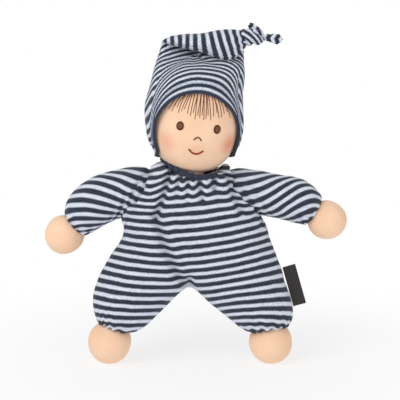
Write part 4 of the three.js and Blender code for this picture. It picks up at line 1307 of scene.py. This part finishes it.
# %% [markdown]
# ## Floor, light and camera
# The doll stands on a pale floor under soft light: an even white sky, one wide lamp from the upper left
# and a weak one from the right. Further away the floor fades into plain white, so no horizon shows. The
# camera stands where the doll was seen from: 0.78 m away and 8 degrees above level.

# %% Floor, light and camera
def studio_floor():
    """A flat square: 0.7 white light and 0.3 matt near the doll, and all white light beyond 0.3 m."""
    floor = new_piece("floor", np.array([[-1500, -1500, 0], [1500, -1500, 0], [1500, 1500, 0],
                                         [-1500, 1500, 0]]) - MIDDLE - [0, 0, 0.02], [[0, 1, 2, 3]], False)
    made = bpy.data.materials.new("floor")
    made.use_nodes = True
    tree = made.node_tree
    tree.nodes.remove(tree.nodes["Principled BSDF"])
    start = Sum(tree, None)
    away = start.node("ShaderNodeVectorMath", {"operation": "LENGTH"}, n0=own_place(start))
    share = Sum(tree, away.outputs["Value"]).step(0.05, 0.3) * 0.3 + 0.7
    matt = start.node("ShaderNodeBsdfDiffuse", None, Color=(0.93, 0.935, 0.94, 1))
    white = start.node("ShaderNodeEmission", None, Color=(1, 1, 1, 1), Strength=1.0)
    mixed = start.node("ShaderNodeMixShader", None, n0=share,
                       n1=Sum(tree, matt.outputs[0]), n2=Sum(tree, white.outputs[0]))
    tree.links.new(mixed.outputs[0], tree.nodes["Material Output"].inputs["Surface"])
    floor.data.materials.append(made)


def lamp(name, size, power, place):
    """A square soft lamp whose face is turned to the doll's middle."""
    light = bpy.data.lights.new(name, "AREA")
    light.size, light.energy = size, power
    holder = bpy.data.objects.new(name, light)
    holder.location = place
    away = np.array(place) - [0, 0, 0.11]
    flat = math.hypot(away[0], away[1])
    holder.rotation_euler = (math.atan2(flat, away[2]), 0, math.atan2(away[1], away[0]) + math.pi / 2)
    bpy.context.scene.collection.objects.link(holder)


def sky(level):
    """An even sky of this level that the camera, gloss and glass see as plain white."""
    world = bpy.data.worlds.new("studio")
    bpy.context.scene.world = world
    world.use_nodes = True
    tree = world.node_tree
    start = Sum(tree, None)
    rays = start.node("ShaderNodeLightPath")
    seen = Sum(tree, rays.outputs["Is Camera Ray"]) + Sum(tree, rays.outputs["Is Glossy Ray"])
    seen = seen.maths("ADD", seen, Sum(tree, rays.outputs["Is Transmission Ray"]), clamp=True)
    strength = seen * (1 - level) + level
    tree.links.new(strength.socket, tree.nodes["Background"].inputs["Strength"])
    tree.nodes["Background"].inputs["Color"].default_value = (1, 1, 1, 1)


studio_floor()
sky(0.62)
lamp("key", 0.9, 8.6, (-0.75, -0.85, 1.05))
lamp("fill", 0.8, 2.5, (0.4, -1.0, 0.2))
bpy.context.scene.view_settings.view_transform = "Standard"
lens = bpy.data.cameras.new("camera")
lens.lens, lens.sensor_width = 100, 36
camera = bpy.data.objects.new("camera", lens)
rise = math.radians(VIEW_TILT)
camera.location = (0.00397, -0.0011 - 0.778 * math.cos(rise), 0.1165 + 0.778 * math.sin(rise))
camera.rotation_euler = (math.pi / 2 - rise, 0, 0)
bpy.context.scene.collection.objects.link(camera)
bpy.context.scene.camera = camera
print("camera at", [round(v, 3) for v in camera.location])
